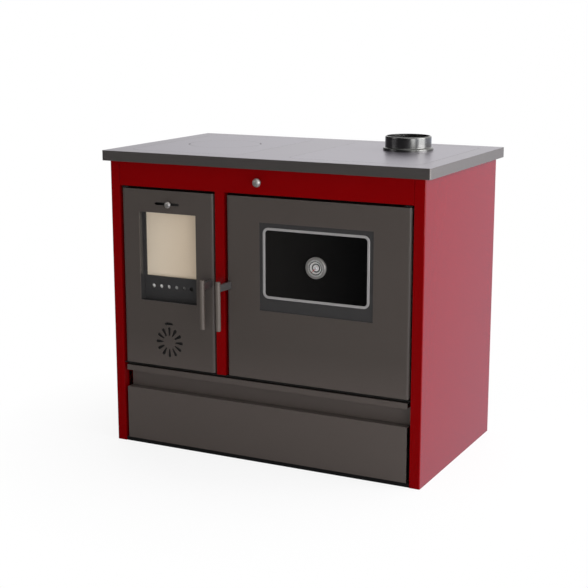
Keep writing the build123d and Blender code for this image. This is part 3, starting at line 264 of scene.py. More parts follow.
anthracite = Finish("anthracite_paint")
grain = anthracite.noise(FLAKE_SCALE, detail=2.0)
# The paler pair of flakes, low in the cabinet, is painted light.
flakes = anthracite.blend(
    anthracite.across("left_side_panel", *LOW_PAINTED_LIGHT_SPAN, axis=2),
    anthracite.blend(grain, seen(76, 69, 65), seen(92, 84, 80)),
    anthracite.blend(grain, seen(67, 61, 57), seen(83, 76, 72)),
)
rubbed = anthracite.span(anthracite.edges(EDGE_RADIUS), 0.0, RUBBED_SHARE)
anthracite.set({
    "Base Color": anthracite.blend(rubbed, flakes, seen(112, 106, 102)),
    "Roughness": anthracite.span(anthracite.noise(25.0), 0.28, 0.36),
    "IOR": 1.48,
})
anthracite.relief(anthracite.noise(FLAKE_SCALE, detail=1.0), strength=0.08, depth=PEEL_DEPTH)
dress(anthracite, "fire_door_skin", "oven_door_skin", "drawer_front")

# %% [markdown]
# Black paint.
# Plates that are in the shade, such as the air controls, the deck and the plate behind the doors, are
# painted black without much care. The gloss changes in patches, as thin sprayed paint does, and the grain
# of the steel shows. The air register and slide plate are black as painted shade, so that the slots in
# front of them read dark. The plinth is a flatter, deeper black still, as painted shadow for the dark gap
# under the drawer.

# %% Black paint on the shaded plates, and painted shadow on the plinth
black = drifting(
    "black_paint", seen(24, 23, 22), seen(33, 32, 31), clouds=14.0, gloss=(0.42, 0.6), haze=60.0
)
black.relief(black.noise(900.0, detail=2.0), strength=0.12, depth=PEEL_DEPTH)
dress(black, "deck", "body_front_plate", "hinge_lugs", "hinge_pins", "oven_glass_retainer")
# Black behind the slots is painted shade, so that the slots read dark.
dress(black, "air_register", "air_slide_plate")

# The plinth's deeper black is painted shadow for the gap under the drawer.
plinth_painted_shadow = drifting(
    "plinth_painted_shadow", seen(5, 5, 5), seen(9, 9, 9), clouds=20.0, gloss=(0.75, 0.9), haze=80.0
)
plinth_painted_shadow.relief(plinth_painted_shadow.noise(800.0, detail=2.0), strength=0.15, depth=PEEL_DEPTH)
dress(plinth_painted_shadow, "base_tray")

# %% [markdown]
# Dark plates of the doors.
# The plate round the oven glass, the reveal of the fire window and the liner behind each door are a
# neutral, smoother black than the door skins, so they read cool and dark beside the warm grey: painted
# shade where they sit back from the face. They get a finish of their own, glossy enough to hold a soft
# reflection.

# %% Dark plates of the doors
# A darker, cooler grey than the door skins: painted shade.
setback_shade = drifting(
    "setback_painted_shade", seen(54, 53, 53), seen(62, 61, 61), clouds=18.0, gloss=(0.19, 0.26), haze=40.0
)
setback_shade.relief(setback_shade.noise(700.0, detail=1.0), strength=0.06, depth=PEEL_DEPTH)
dress(setback_shade, "oven_window_plate", "fire_window_frame", "fire_door_liner", "oven_door_liner")

# %% [markdown]
# Ground steel of the cooking top.
# The top is thick dark steel, ground in long strokes from side to side. At the low angle of the picture
# it mirrors the pale room, while its front edge stays dark. A metal with a dark base colour does both at
# once, and noise that is squeezed hard across the strokes gives the grinding marks. Upright faces keep a
# browner, duller mill skin, so the height of the normal picks between the two. The frame's rim is rubbed
# bright, while the edges round the hob plates and the lid are a darker grey along the seams, so the edge
# mask is wider there and leads to that darker grey.

# %% Ground steel on the cooking top
GRIND_STRETCH = (3.0, 240.0, 240.0)
GRIND_DEPTH = 0.0002
GROUND_LEVEL = (0.5, 0.9)
MILL_SKIN = seen(132, 127, 124)
MILL_DULLNESS = 1.5
SEAM_RADIUS = 0.004


def ground_steel(name, dark, pale, rim_radius, rim_share, rim):
    """Ground steel between two greys, with strokes along x and rims of another grey."""
    steel = Finish(name)
    strokes = steel.noise(1.0, detail=5.0, place=steel.stretched(GRIND_STRETCH))
    normal = steel.node("ShaderNodeNewGeometry").outputs["True Normal"]
    height = steel.node("ShaderNodeSeparateXYZ", {"Vector": normal}).outputs["Z"]
    ground = steel.span(height, 0.0, 1.0, *GROUND_LEVEL)
    grey = steel.blend(ground, MILL_SKIN, steel.blend(strokes, dark, pale))
    gloss = steel.span(steel.noise(1.0, detail=4.0, place=steel.stretched(GRIND_STRETCH)), 0.28, 0.4)
    steel.set({
        "Base Color": steel.blend(steel.span(steel.edges(rim_radius), 0.0, rim_share), grey, rim),
        "Metallic": 0.85,
        "Roughness": steel.times(gloss, steel.span(ground, MILL_DULLNESS, 1.0)),
    })
    steel.relief(strokes, strength=0.08, depth=GRIND_DEPTH)
    return steel


frame_steel = ground_steel(
    "top_frame_steel", seen(144, 139, 147), seen(159, 154, 163),
    rim_radius=EDGE_RADIUS, rim_share=0.2, rim=seen(150, 148, 148),
)
dress(frame_steel, "top_frame")
hob_steel = ground_steel(
    "hob_plate_steel", seen(146, 141, 150), seen(161, 156, 166),
    rim_radius=SEAM_RADIUS, rim_share=0.45, rim=seen(84, 80, 86),
)
dress(hob_steel, "hob_plate_left", "hob_plate_right", "hob_lid")

# %% [markdown]
# Plain rolled steel.
# Inside, the smoke passages, the ash pan and the clips are bare rolled sheet with a bluish mill skin.
# Large soft blotches in colour and roughness stand for the scale that rolling leaves.

# %% Rolled steel inside
rolled = drifting(
    "rolled_steel", seen(86, 84, 84), seen(128, 127, 129),
    clouds=16.0, gloss=(0.38, 0.6), haze=45.0, cloud_detail=6.0, haze_detail=4.0,
)
rolled.set({"Metallic": 1.0})
rolled.relief(rolled.noise(600.0, detail=2.0), strength=0.1, depth=GRIND_DEPTH)
dress(rolled, "inner_shell", "fire_partition", "flue_baffle", "ash_pan", "fire_glass_clips", "damper_plate")

# %% [markdown]
# Oven enamel.
# Oven walls are covered in vitreous enamel: near black, glossy, with pale specks. A cell pattern cut off
# close to each cell's centre gives small round specks of uneven size.

# %% Oven enamel
SPECK_SCALE = 420.0
SPECK_EDGE = (0.16, 0.24)

oven_enamel = Finish("oven_enamel")
speck = oven_enamel.span(oven_enamel.cells(SPECK_SCALE), 1.0, 0.0, *SPECK_EDGE)
oven_enamel.set({
    "Base Color": oven_enamel.blend(speck, seen(30, 32, 36), seen(150, 152, 156)),
    "Roughness": oven_enamel.span(oven_enamel.noise(50.0), 0.1, 0.2),
})
oven_enamel.relief(oven_enamel.noise(160.0, detail=1.0), strength=0.06, depth=PEEL_DEPTH)
dress(oven_enamel, "oven_box")

# %% [markdown]
# Zinc-coated sheet.
# The back panel, the drawer's box and its rails are zinc-coated. Zinc freezes in flat crystals, each with
# its own shade and gloss, so the random colour of a cell pattern drives both.

# %% Zinc-coated sheet
SPANGLE_SCALE = 70.0

zinc = Finish("zinc_sheet")
spangle = zinc.cells(SPANGLE_SCALE, "Color")
zinc.set({
    "Base Color": zinc.blend(spangle, seen(150, 153, 156), seen(186, 188, 190)),
    "Metallic": 1.0,
    "Roughness": zinc.span(spangle, 0.3, 0.5),
})
zinc.relief(zinc.noise(300.0, detail=2.0), strength=0.05, depth=GRIND_DEPTH)
dress(zinc, "back_panel", "back_panel_screws", "drawer_box", "drawer_rails")

# %% [markdown]
# Deflector with painted light and shade.
# The small plate behind the air holes is painted near white at one end, as painted light, and nearly
# black at the other, as painted shade, so through the holes it looks pale on one side and nearly black on
# the other. A slow change along x, broken up by noise, does it.

# %% Deflector behind the air holes
LIGHT_TO_SHADE_SPAN = (0.2, 0.8)
SHADE_BREAKUP_RANGE = (0.85, 1.15)

deflector = Finish("deflector_painted_light_and_shade")
shade_breakup = deflector.span(deflector.noise(60.0), *SHADE_BREAKUP_RANGE)
painted_shade_ramp = deflector.times(deflector.across("air_deflector", *LIGHT_TO_SHADE_SPAN), shade_breakup)
# Near white is painted light and the dark end is painted shade, made ragged by noise.
deflector.set({
    "Base Color": deflector.blend(painted_shade_ramp, seen(253, 251, 247), seen(34, 32, 30)),
    "Roughness": deflector.span(deflector.noise(80.0), 0.5, 0.7),
})
dress(deflector, "air_deflector")

# %% [markdown]
# Cast iron and blackened iron.
# The grate is raw cast iron with a sandy skin. The flue collar is iron too, but turned and blackened
# until it mirrors the room: nearly black where the room is dim and pale where it is bright.

# %% Cast iron and the blackened collar
SAND_DEPTH = 0.0006

iron = drifting(
    "cast_iron", seen(38, 37, 36), seen(64, 60, 57),
    clouds=90.0, gloss=(0.6, 0.8), haze=200.0, cloud_detail=5.0,
)
iron.set({"Metallic": 0.4})
iron.relief(iron.noise(480.0, detail=4.0), strength=0.5, depth=SAND_DEPTH)
dress(iron, "grate", "grate_frame")

collar = drifting(
    "blackened_iron", seen(106, 106, 104), seen(120, 120, 118), clouds=30.0, gloss=(0.18, 0.26), haze=70.0
)
collar.set({"Metallic": 0.95})
collar.relief(collar.noise(150.0, detail=1.0), strength=0.06, depth=PEEL_DEPTH)
dress(collar, "flue_collar")

# %% [markdown]
# Fire board.
# The fire chamber is lined with pressed vermiculite, a crumbly golden board full of flat flecks. Two
# sizes of pattern make the colour, and cells give the pressed flecks some relief.

# %% Fire board
FLECK_SCALE = 260.0
FLECK_SHARE = 0.45

board = Finish("fire_board")
flecks = board.cells(FLECK_SCALE, "Color")
cloud = board.blend(board.noise(25.0, detail=4.0), seen(176, 152, 116), seen(202, 180, 142))
board.set({
    "Base Color": board.blend(board.span(flecks, 0.0, FLECK_SHARE), cloud, seen(140, 116, 84)),
    "Roughness": board.span(flecks, 0.8, 1.0),
})
board.relief(board.cells(FLECK_SCALE), strength=0.4, depth=SAND_DEPTH)
dress(board, "fire_bricks")

# %% [markdown]
# Chrome.
# The rack and the dial's ring are polished chrome, and the knobs and the thermometer's case are chrome
# with a satin bloom. Chrome has hardly any colour of its own, so it needs little more than hair scratches
# in its roughness.

# %% Chrome
SCRATCH_SCALE = 260.0
SCRATCH_DETAIL = 4.0

chrome = drifting(
    "chrome", seen(196, 196, 198), seen(214, 214, 215),
    clouds=20.0, gloss=(0.04, 0.12), haze=SCRATCH_SCALE, haze_detail=SCRATCH_DETAIL,
)
chrome.set({"Metallic": 1.0})
dress(chrome, "oven_rack")

satin_chrome = drifting(
    "satin_chrome", seen(172, 168, 164), seen(190, 186, 182),
    clouds=40.0, gloss=(0.28, 0.36), haze=SCRATCH_SCALE, haze_detail=SCRATCH_DETAIL,
)
satin_chrome.set({"Metallic": 0.7})
dress(satin_chrome, "damper_knob", "air_slide_knob", "thermometer_case")

# %% [markdown]
# Satin steel.
# Handles, trim and latches are satin steel with a warm cast. The steel is drawn or brushed lengthwise, so
# its noise is long in one direction and tight across: along z on the upright bars, along y on the arms
# and along x on the trim.

# %% Satin steel
BAR_STRETCH = (420.0, 420.0, 4.0)
ARM_STRETCH = (420.0, 4.0, 420.0)
TRIM_STRETCH = (6.0, 300.0, 300.0)


def satin_steel(name, stretch, dark, pale, metallic, gloss):
    """Drawn or brushed steel whose strokes follow the long side of the stretch."""
    steel = Finish(name)
    strokes = steel.noise(1.0, detail=4.0, place=steel.stretched(stretch))
    steel.set({
        "Base Color": steel.blend(strokes, dark, pale),
        "Metallic": metallic,
        "Roughness": steel.span(strokes, *gloss),
    })
    steel.relief(strokes, strength=0.06, depth=GRIND_DEPTH)
    return steel


bar_steel = satin_steel(
    "bar_steel", BAR_STRETCH, seen(102, 95, 88), seen(119, 110, 104), metallic=0.35, gloss=(0.42, 0.58)
)
dress(bar_steel, "fire_handle_grip", "oven_handle_grip")
arm_steel = satin_steel(
    "arm_steel", ARM_STRETCH, seen(116, 115, 115), seen(138, 137, 137), metallic=0.8, gloss=(0.28, 0.42)
)
dress(arm_steel, "fire_handle_arm", "oven_handle_arm", "fire_latch", "oven_latch")
dress(arm_steel, "damper_rod", "damper_guide")
trim_steel = satin_steel(
    "trim_steel", TRIM_STRETCH, seen(176, 173, 172), seen(198, 195, 194), metallic=0.45, gloss=(0.35, 0.5)
)
dress(trim_steel, "oven_window_trim")

# %% [markdown]
# Three kinds of glass.
# The fire glass is a ceramic pane with a pale tan bloom behind it, so it looks almost solid; a glossy
# coat over a rough tan base does that. The oven glass is tinted nearly black. The fire glass is painted
# darker towards the right as painted shade, and the oven glass is also darker towards the right. The
# thermometer's lens is plain clear glass.

# %% Glass
DARKER_RIGHT_SPAN = (0.1, 0.9)

fire_glass = Finish("fire_glass")
bloom = fire_glass.blend(fire_glass.noise(5.0, detail=2.0), seen(222, 206, 183), seen(228, 214, 193))
# Darker towards the right: painted shade.
fire_glass.set({
    "Base Color": fire_glass.blend(fire_glass.across("fire_glass"), bloom, seen(214, 194, 168)),
    "Roughness": fire_glass.span(fire_glass.noise(18.0), 0.45, 0.6),
    "Coat Weight": 0.5,
    "Coat Roughness": 0.04,
})
dress(fire_glass, "fire_glass")

oven_glass = Finish("oven_glass")
tint = oven_glass.blend(oven_glass.noise(6.0), seen(24, 23, 22), seen(30, 29, 28))
# Darker towards the right across the pane.
oven_glass.set({
    "Base Color": oven_glass.blend(oven_glass.across("oven_glass", *DARKER_RIGHT_SPAN), tint, seen(9, 9, 9)),
    "Roughness": oven_glass.span(oven_glass.noise(14.0, detail=4.0), 0.03, 0.1),
    "IOR": 1.5,
})
dress(oven_glass, "oven_glass")

lens = Finish("lens_glass")
lens.set({
    "Base Color": seen(250, 250, 250),
    "Transmission Weight": 1.0,
    "Roughness": lens.span(lens.noise(90.0), 0.0, 0.03),
    "IOR": 1.45,
})
dress(lens, "thermometer_lens")

# %% [markdown]
# Dial, ink and needle.
# The dial is a pale satin disc turned on a lathe, so fine rings run round its centre: the distance from
# the centre drives them. The ink of its scale is a soft black and the needle is painted red.

# %% Dial, ink and needle finishes
RING_SCALE = 900.0

needle_low, needle_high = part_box("thermometer_needle")
lens_low, lens_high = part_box("thermometer_lens")
dial_centre = (lens_low + lens_high) / 2

dial_face = Finish("dial_face")
centred = dial_face.node("ShaderNodeMapping", {"Vector": dial_face.place, "Location": -dial_centre})
distance = dial_face.length(centred.outputs["Vector"])
rings = dial_face.noise(1.0, detail=2.0, place=dial_face.times(distance, RING_SCALE))
dial_face.set({
    "Base Color": dial_face.blend(rings, seen(206, 205, 202), seen(228, 227, 224)),
    "Metallic": 0.2,
    "Roughness": dial_face.span(rings, 0.28, 0.42),
})
dress(dial_face, "thermometer_dial")

ink = drifting("dial_ink", seen(22, 22, 22), seen(34, 34, 34), clouds=900.0, gloss=(0.4, 0.6), haze=700.0)
needle_paint = drifting(
    "needle_paint", seen(150, 18, 14), seen(168, 26, 20), clouds=400.0, gloss=(0.3, 0.45), haze=500.0
)
dress(needle_paint, "thermometer_needle")

# %% [markdown]
# Glass fibre.
# The seals are grey glass-fibre rope and the tape under the fire glass is woven from the same yarn:
# strands that cross on a slant, which two slanted waves multiplied together imitate.

# %% Glass fibre
STRAND_SLANT = 45.0
BRAID_DEPTH = 0.0008


def woven(name, scale, dark, pale):
    """Grey fibre whose strands cross on a slant in the plane of the door."""
    fibre = Finish(name)
    strands = []
    for way in (1.0, -1.0):
        slanted = fibre.stretched((1.0, 1.0, way), (0.0, math.radians(STRAND_SLANT * way), 0.0))
        strands.append(fibre.bands(scale, slanted))
    braid = fibre.times(*strands)
    fibre.set({
        "Base Color": fibre.blend(braid, dark, pale),
        "Roughness": fibre.span(braid, 0.95, 0.8),
        "Sheen Weight": 0.3,
    })
    fibre.relief(braid, strength=0.8, depth=BRAID_DEPTH)
    return fibre


rope = woven("rope_fibre", 55.0, seen(70, 68, 64), seen(150, 146, 138))
tape = woven("tape_fibre", 110.0, seen(120, 116, 108), seen(190, 186, 176))
print("finishes on", len(finishes), "of", len(nodes), "solids")

# %% [markdown]
# How bent pieces are made.
# A rope seal, a wire handle or a tape frame is one section carried along a path. Instead of listing
# points, the section is a ring of vertices that is extruded along each straight run and spun round each
# corner, exactly as a bender would make it.

# %% Helpers for new pieces
BEND_STEPS = 8
MERGE_DISTANCE = 0.00001
CREASE_ANGLE = 35.0
FACE_FORWARD = Matrix.Rotation(math.radians(90), 4, "X")


def ring_edges(ring):
    """The edges that join the vertices of a ring."""
    members = set(ring)
    return list({edge for vert in ring for edge in vert.link_edges if edge.other_vert(vert) in members})


def run(mesh, ring, shift):
    """Extrudes a ring along a straight run and gives the new ring."""
    made = bmesh.ops.extrude_edge_only(mesh, edges=ring_edges(ring))["geom"]
    fresh = [part for part in made if isinstance(part, bmesh.types.BMVert)]
    bmesh.ops.translate(mesh, verts=fresh, vec=shift)
    return fresh


def bend(mesh, ring, centre, axis, degrees):
    """Spins a ring round a corner and gives the new ring."""
    made = bmesh.ops.spin(
        mesh, geom=ring + ring_edges(ring), cent=centre, axis=axis,
        angle=math.radians(degrees), steps=BEND_STEPS, use_duplicate=False,
    )["geom_last"]
    return [part for part in made if isinstance(part, bmesh.types.BMVert)]


def finish_piece(name, mesh, finish, body):
    """Closes a mesh, turns its faces outwards and hands it to a body of the stove."""
    bmesh.ops.remove_doubles(mesh, verts=mesh.verts, dist=MERGE_DISTANCE)
    bmesh.ops.recalc_face_normals(mesh, faces=mesh.faces)
    data = bpy.data.meshes.new(name)
    mesh.to_mesh(data)
    mesh.free()
    for face in data.polygons:
        face.use_smooth = True
    data.set_sharp_from_angle(angle=math.radians(CREASE_ANGLE))
    data.materials.append(finish.material)
    piece = bpy.data.objects.new(name, data)
    scene.collection.objects.link(piece)
    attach(piece, body)
    print(name, "faces:", len(data.polygons))
    return piece


# %% [markdown]
# Rope seals and the glass tape.
# Each door closes on a soft rope that lies in a frame round its mouth, and the fire glass rests on a thin
# woven tape. On the plain solids these are square frames, so they are replaced by a round rope and a flat
# tape of the same outline.

# %% Rope seals and the glass tape
SEAL_BAND = 0.010
SEAL_CORNER = 0.009
TAPE_BAND = 0.008
TAPE_CORNER = 0.004
ROPE_SIDES = 16


def fibre_frame(name, node, band, corner, finish, body):
    """A fibre section carried round a rectangular frame, in place of its plain solid."""
    low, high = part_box(node)
    half_deep = (high.y - low.y) / 2
    middle_y = (low.y + high.y) / 2
    x0, x1 = low.x + band / 2, high.x - band / 2
    z0, z1 = low.z + band / 2, high.z - band / 2
    mesh = bmesh.new()
    ring = bmesh.ops.create_circle(mesh, segments=ROPE_SIDES, radius=1.0)["verts"]
    stand = (
        Matrix.Translation((x0 + corner, middle_y, z0))
        @ Matrix.Diagonal((1.0, half_deep, band / 2, 1.0))
        @ Matrix.Rotation(math.radians(90), 4, "Y")
    )
    bmesh.ops.transform(mesh, matrix=stand, verts=ring)
    corners = (
        (x1 - corner, z0 + corner), (x1 - corner, z1 - corner),
        (x0 + corner, z1 - corner), (x0 + corner, z0 + corner),
    )
    wide, tall = x1 - x0 - 2 * corner, z1 - z0 - 2 * corner
    shifts = ((wide, 0, 0), (0, 0, tall), (-wide, 0, 0), (0, 0, -tall))
    for shift, (corner_x, corner_z) in zip(shifts, corners):
        ring = run(mesh, ring, shift)
        ring = bend(mesh, ring, (corner_x, middle_y, corner_z), (0, -1, 0), 90)
    piece = finish_piece(name, mesh, finish, body)
    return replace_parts(piece, node)


fibre_frame("fire_door_rope", "fire_door_seal", SEAL_BAND, SEAL_CORNER, rope, "fire_door_body")
fibre_frame("oven_door_rope", "oven_door_seal", SEAL_BAND, SEAL_CORNER, rope, "oven_door_body")
fibre_frame("fire_glass_tape", "fire_glass_gasket", TAPE_BAND, TAPE_CORNER, tape, "fire_door_body")

# %% [markdown]
# Strokes and band of the thermometer's scale.
# A dial like this is printed with short strokes, a dark band and a few plain numbers. The strokes are
# thin bars set round the centre by a loop, and the band is a ring of vertices extruded outwards.

# %% Dial strokes and band
SCALE_START = 225.0
SCALE_SWEEP = 270.0
SCALE_STROKES = 31
STROKE_RADIUS = 0.0195
STROKE_SIZE = (0.0012, 0.0001, 0.00025)
BAND_RADII = (0.0085, 0.0125)
BAND_SIDES = 64
FACE_BEHIND_NEEDLE = 0.0003
INK_LIFT = Vector((0, -0.00005, 0))

ink_place = Vector((dial_centre.x, needle_high.y + FACE_BEHIND_NEEDLE, dial_centre.z))


def scale_angle(step, steps):
    """The angle of one of the scale's even steps, counted up from the right."""
    return SCALE_START - SCALE_SWEEP * step / (steps - 1)


def round_dial(degrees, radius):
    """A point on the dial's face at an angle."""
    angle = math.radians(degrees)
    return ink_place + Vector((radius * math.cos(angle), 0, radius * math.sin(angle)))


printing = bmesh.new()
for stroke in range(SCALE_STROKES):
    degrees = scale_angle(stroke, SCALE_STROKES)
    place = (
        Matrix.Translation(round_dial(degrees, STROKE_RADIUS))
        @ Matrix.Rotation(math.radians(-degrees), 4, "Y")
        @ Matrix.Diagonal((*STROKE_SIZE, 1.0))
    )
    bmesh.ops.create_cube(printing, size=1.0, matrix=place)

inner_ring = bmesh.ops.create_circle(printing, segments=BAND_SIDES, radius=BAND_RADII[0])["verts"]
on_face = Matrix.Translation(ink_place + INK_LIFT) @ FACE_FORWARD
bmesh.ops.transform(printing, matrix=on_face, verts=inner_ring)
outer_ring = run(printing, inner_ring, (0, 0, 0))
grow = BAND_RADII[1] / BAND_RADII[0]
bmesh.ops.scale(printing, verts=outer_ring, vec=(grow, 1, grow), space=Matrix.Translation(-ink_place))
print("strokes:", SCALE_STROKES, "band sides:", BAND_SIDES)

# %% [markdown]
# Numbers of the scale.
# The numbers start as text and become a mesh before they are placed, so that they join the strokes in one
# piece that travels with the door.

# %% Dial numbers
SCALE_LABELS = ("0", "50", "100", "150", "200", "250", "300")
LABEL_RADIUS = 0.0216
LABEL_SIZE = 0.0024

for number, label in enumerate(SCALE_LABELS):
    text = bpy.data.curves.new("label", "FONT")
    text.body = label
    text.size = LABEL_SIZE
    text.align_x = "CENTER"
    text.align_y = "CENTER"
    holder = bpy.data.objects.new("label", text)
    scene.collection.objects.link(holder)
    bpy.context.view_layer.update()
    evaluated = holder.evaluated_get(bpy.context.evaluated_depsgraph_get())
    letters = bpy.data.meshes.new_from_object(evaluated)
    spot = round_dial(scale_angle(number, len(SCALE_LABELS)), LABEL_RADIUS) + INK_LIFT
    letters.transform(Matrix.Translation(spot) @ FACE_FORWARD)
    printing.from_mesh(letters)
    bpy.data.objects.remove(holder)
finish_piece("dial_printing", printing, ink, "oven_door_body")

# %% [markdown]
# Bright ring and hub.
# A chrome ring is fixed behind the lens and a small domed cap sits on the needle's pin. Both are turned
# pieces, so a few profile vertices are spun once round the dial's axis.

# %% Inner ring and needle cap
RING_PROFILE = ((0.0166, 0.0), (0.0171, 0.0011), (0.0182, 0.0011), (0.0188, 0.0))
CAP_PROFILE = ((0.0, -0.0016), (0.0020, -0.0014), (0.0036, -0.0008), (0.0042, 0.0), (0.0, 0.0))
CAP_LIFT = 0.0002
SPIN_STEPS = 64


def turned(name, profile, place, finish, body, closed):
    """A profile of radius and reach along y, spun once round an axis along y."""
    mesh = bmesh.new()
    verts = [mesh.verts.new(place + Vector((radius, reach, 0))) for radius, reach in profile]
    pairs = list(zip(verts, verts[1:]))
    if closed:
        pairs.append((verts[-1], verts[0]))
    lines = [mesh.edges.new(pair) for pair in pairs]
    bmesh.ops.spin(
        mesh, geom=verts + lines, cent=place, axis=(0, 1, 0),
        angle=math.radians(360), steps=SPIN_STEPS, use_merge=True, use_duplicate=False,
    )
    return finish_piece(name, mesh, finish, body)


lens_back = Vector((dial_centre.x, lens_high.y, dial_centre.z))
turned("dial_ring", RING_PROFILE, lens_back, chrome, "oven_door_body", closed=True)
pin_front = Vector((dial_centre.x, needle_low.y - CAP_LIFT, dial_centre.z))
turned("needle_cap", CAP_PROFILE, pin_front, chrome, "needle_body", closed=False)

# %% [markdown]
# Bolts of the door liners.
# The back plate of each door is bolted to its skin along both upright edges, outside the rope seal. A
# six-sided cone with equal ends and a bevelled rim is enough for a bolt head, and a loop sets them in two
# columns.

# %% Liner bolts
BOLT_SIDES = 6
BOLT_RADIUS = 0.0042
BOLT_HEIGHT = 0.0024
BOLT_BEVEL = 0.0006
BOLT_INSET = 0.009
BOLT_ROWS = 5
BOLT_SPACE = 0.045


def liner_bolts(name, node, body):
    """Hexagon bolt heads in two columns on a door liner's back face."""
    low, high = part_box(node)
    head_y = high.y + BOLT_HEIGHT / 2
    row_space = (high.z - low.z - 2 * BOLT_SPACE) / (BOLT_ROWS - 1)
    mesh = bmesh.new()
    for x in (low.x + BOLT_INSET, high.x - BOLT_INSET):
        for row in range(BOLT_ROWS):
            place = Matrix.Translation((x, head_y, low.z + BOLT_SPACE + row_space * row))
            head = bmesh.ops.create_cone(
                mesh, cap_ends=True, segments=BOLT_SIDES, radius1=BOLT_RADIUS, radius2=BOLT_RADIUS,
                depth=BOLT_HEIGHT, matrix=place @ FACE_FORWARD,
            )["verts"]
            rim = [edge for edge in ring_edges(head) if all(vert.co.y > head_y for vert in edge.verts)]
            bmesh.ops.bevel(
                mesh, geom=rim, offset=BOLT_BEVEL, affect="EDGES", segments=2, profile=0.5, material=-1
            )
    return finish_piece(name, mesh, bar_steel, body)


liner_bolts("fire_liner_bolts", "fire_door_liner", "fire_door_body")
liner_bolts("oven_liner_bolts", "oven_door_liner", "oven_door_body")

# %% [markdown]
# Handle of the ash pan.
# An ash pan is drawn out by a bent wire on its front wall. The wire is a small ring that leaves the wall,
# bends, crosses and goes back in.

# %% Ash pan wire
WIRE_SIDES = 12
WIRE_RADIUS = 0.003
WIRE_REACH = 0.008
WIRE_BEND = 0.006
WIRE_HALF = 0.045
WIRE_DROP = 0.022

pan_low, pan_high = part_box("ash_pan")
pan_mid = (pan_low.x + pan_high.x) / 2
bend_y = pan_low.y - WIRE_REACH
wire_z = pan_high.z - WIRE_DROP
half_straight = WIRE_HALF - WIRE_BEND
wire = bmesh.new()
ring = bmesh.ops.create_circle(wire, segments=WIRE_SIDES, radius=WIRE_RADIUS)["verts"]
wire_start = Matrix.Translation((pan_mid - WIRE_HALF, pan_low.y, wire_z))
bmesh.ops.transform(wire, matrix=wire_start @ FACE_FORWARD, verts=ring)
ring = run(wire, ring, (0, -WIRE_REACH, 0))
ring = bend(wire, ring, (pan_mid - half_straight, bend_y, wire_z), (0, 0, 1), 90)
ring = run(wire, ring, (2 * half_straight, 0, 0))
ring = bend(wire, ring, (pan_mid + half_straight, bend_y, wire_z), (0, 0, 1), 90)
ring = run(wire, ring, (0, WIRE_REACH, 0))
finish_piece("ash_pan_wire", wire, bar_steel, "stove_body")

# %% [markdown]
# Floor.
# The stove stands on a plain pale floor that fades to white a little way off, so no horizon shows. Only
# what the camera sees is mixed with white, less of it near the stove, so the shadow stays. Metal doesn't
# mirror this floor, because the light of the room, in the next step, gives it a cooler one.

# %% Floor
FLOOR_RADIUS = 14.0
FLOOR_SIDES = 96
FADE_SPAN = (0.45, 1.0)
NEAR_WHITE = 0.85
WHITE = (1.0, 1.0, 1.0, 1.0)

floor_mesh = bmesh.new()
bmesh.ops.create_circle(floor_mesh, cap_ends=True, segments=FLOOR_SIDES, radius=FLOOR_RADIUS)
floor_data = bpy.data.meshes.new("floor")
floor_mesh.to_mesh(floor_data)
floor_mesh.free()
floor = bpy.data.objects.new("floor", floor_data)
scene.collection.objects.link(floor)
floor.visible_glossy = False

pale_floor = Finish("pale_floor")
pale_floor.set({"Base Color": seen(244, 244, 246), "Roughness": 0.9})
fade = pale_floor.span(pale_floor.length(pale_floor.place), NEAR_WHITE, 1.0, *FADE_SPAN)
to_camera = pale_floor.node("ShaderNodeLightPath").outputs["Is Camera Ray"]
white = pale_floor.node("ShaderNodeEmission", {"Color": WHITE, "Strength": 1.0})
faded = pale_floor.node("ShaderNodeMixShader", {
    0: pale_floor.times(fade, to_camera),
    1: pale_floor.shader.outputs["BSDF"],
    2: white.outputs["Emission"],
})
pale_floor.feed(pale_floor.tree.nodes["Material Output"].inputs["Surface"], faded.outputs["Shader"])
floor_data.materials.append(pale_floor.material)
print("floor radius:", FLOOR_RADIUS, "m")

# %% [markdown]
# Light of the room.
# The world is white to the camera and through glass. As light it is bright to the right and behind the
# stove and dim behind the viewer, which is why the top gleams while the doors stay deep. Below the
# horizon, metal mirrors a cool floor. The strength comes from how far a direction agrees with the bright
# way, and the colour from how high it points.

# %% World
ROOM_LIGHT = 1.0
DIM_LIGHT = 0.01
BRIGHT_WAY = (0.75, 0.62, 0.2)
DIM_TO_BRIGHT = (-0.35, 0.25)
LOW_COLOUR = (0.60, 0.64, 0.78, 1.0)
HORIZON = (-0.12, 0.08)

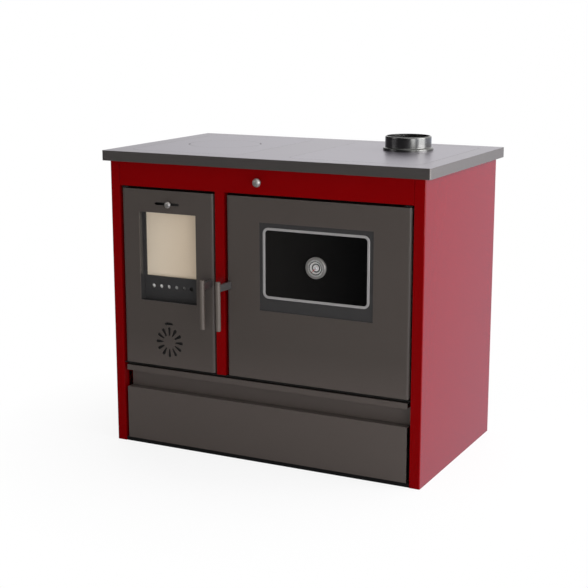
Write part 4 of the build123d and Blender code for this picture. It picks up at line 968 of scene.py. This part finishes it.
world = bpy.data.worlds.new("room")
scene.world = world
world.use_nodes = True
world.node_tree.nodes.clear()
room = NodeBench(world.node_tree)
way = room.node("ShaderNodeTexCoord").outputs["Generated"]
rays = room.node("ShaderNodeLightPath").outputs
glow = room.span(room.agreement(way, BRIGHT_WAY), DIM_LIGHT, ROOM_LIGHT, *DIM_TO_BRIGHT)
height = room.node("ShaderNodeSeparateXYZ", {"Vector": way}).outputs["Z"]
mirrored_floor = room.span(height, rays["Is Glossy Ray"], 0.0, *HORIZON)
walls = room.blend(mirrored_floor, WHITE, LOW_COLOUR)
room_light = room.node("ShaderNodeBackground", {"Color": walls, "Strength": glow})
plain_white = room.node("ShaderNodeBackground", {"Color": WHITE, "Strength": 1.0})
straight = room.node(
    "ShaderNodeMath", {0: rays["Is Camera Ray"], 1: rays["Is Transmission Ray"]}, operation="MAXIMUM"
)
whole = room.node("ShaderNodeMixShader", {
    0: straight.outputs[0], 1: room_light.outputs[0], 2: plain_white.outputs[0],
})
room.node("ShaderNodeOutputWorld", {"Surface": whole.outputs[0]})
print("room light:", DIM_LIGHT, "to", ROOM_LIGHT)

# %% [markdown]
# Lamps.
# Five large soft lamps do the rest. The ones at the corner and the side also draw the two bright panes on
# the round flue collar. The one in front would show as a square in chrome, so mirror-like surfaces don't
# see it.

# %% Lamps
AIM = Vector((0.0, 0.0, 0.45))
LAMPS = (
    ("front_lamp", (1.0, -3.3, 0.45), 0.9, 21.0),
    ("corner_lamp", (2.6, -2.2, 0.7), 1.1, 14.0),
    ("side_lamp", (3.2, 0.2, 1.6), 2.2, 88.0),
    ("left_lamp", (-2.6, -2.0, 2.2), 1.6, 10.0),
    ("top_lamp", (0.2, 0.2, 3.4), 2.0, 8.0),
)

for name, place, size, power in LAMPS:
    lamp_data = bpy.data.lights.new(name, "AREA")
    lamp_data.shape = "SQUARE"
    lamp_data.size = size
    lamp_data.energy = power
    lamp = bpy.data.objects.new(name, lamp_data)
    lamp.location = place
    lamp.rotation_euler = (AIM - Vector(place)).to_track_quat("-Z", "Y").to_euler()
    lamp.visible_glossy = name != "front_lamp"
    scene.collection.objects.link(lamp)
print("lamps:", len(LAMPS))

# %% [markdown]
# Colour.
# The colours are shown as they are, without a film curve.

# %% Colour
scene.view_settings.view_transform = "Standard"
bpy.context.view_layer.update()
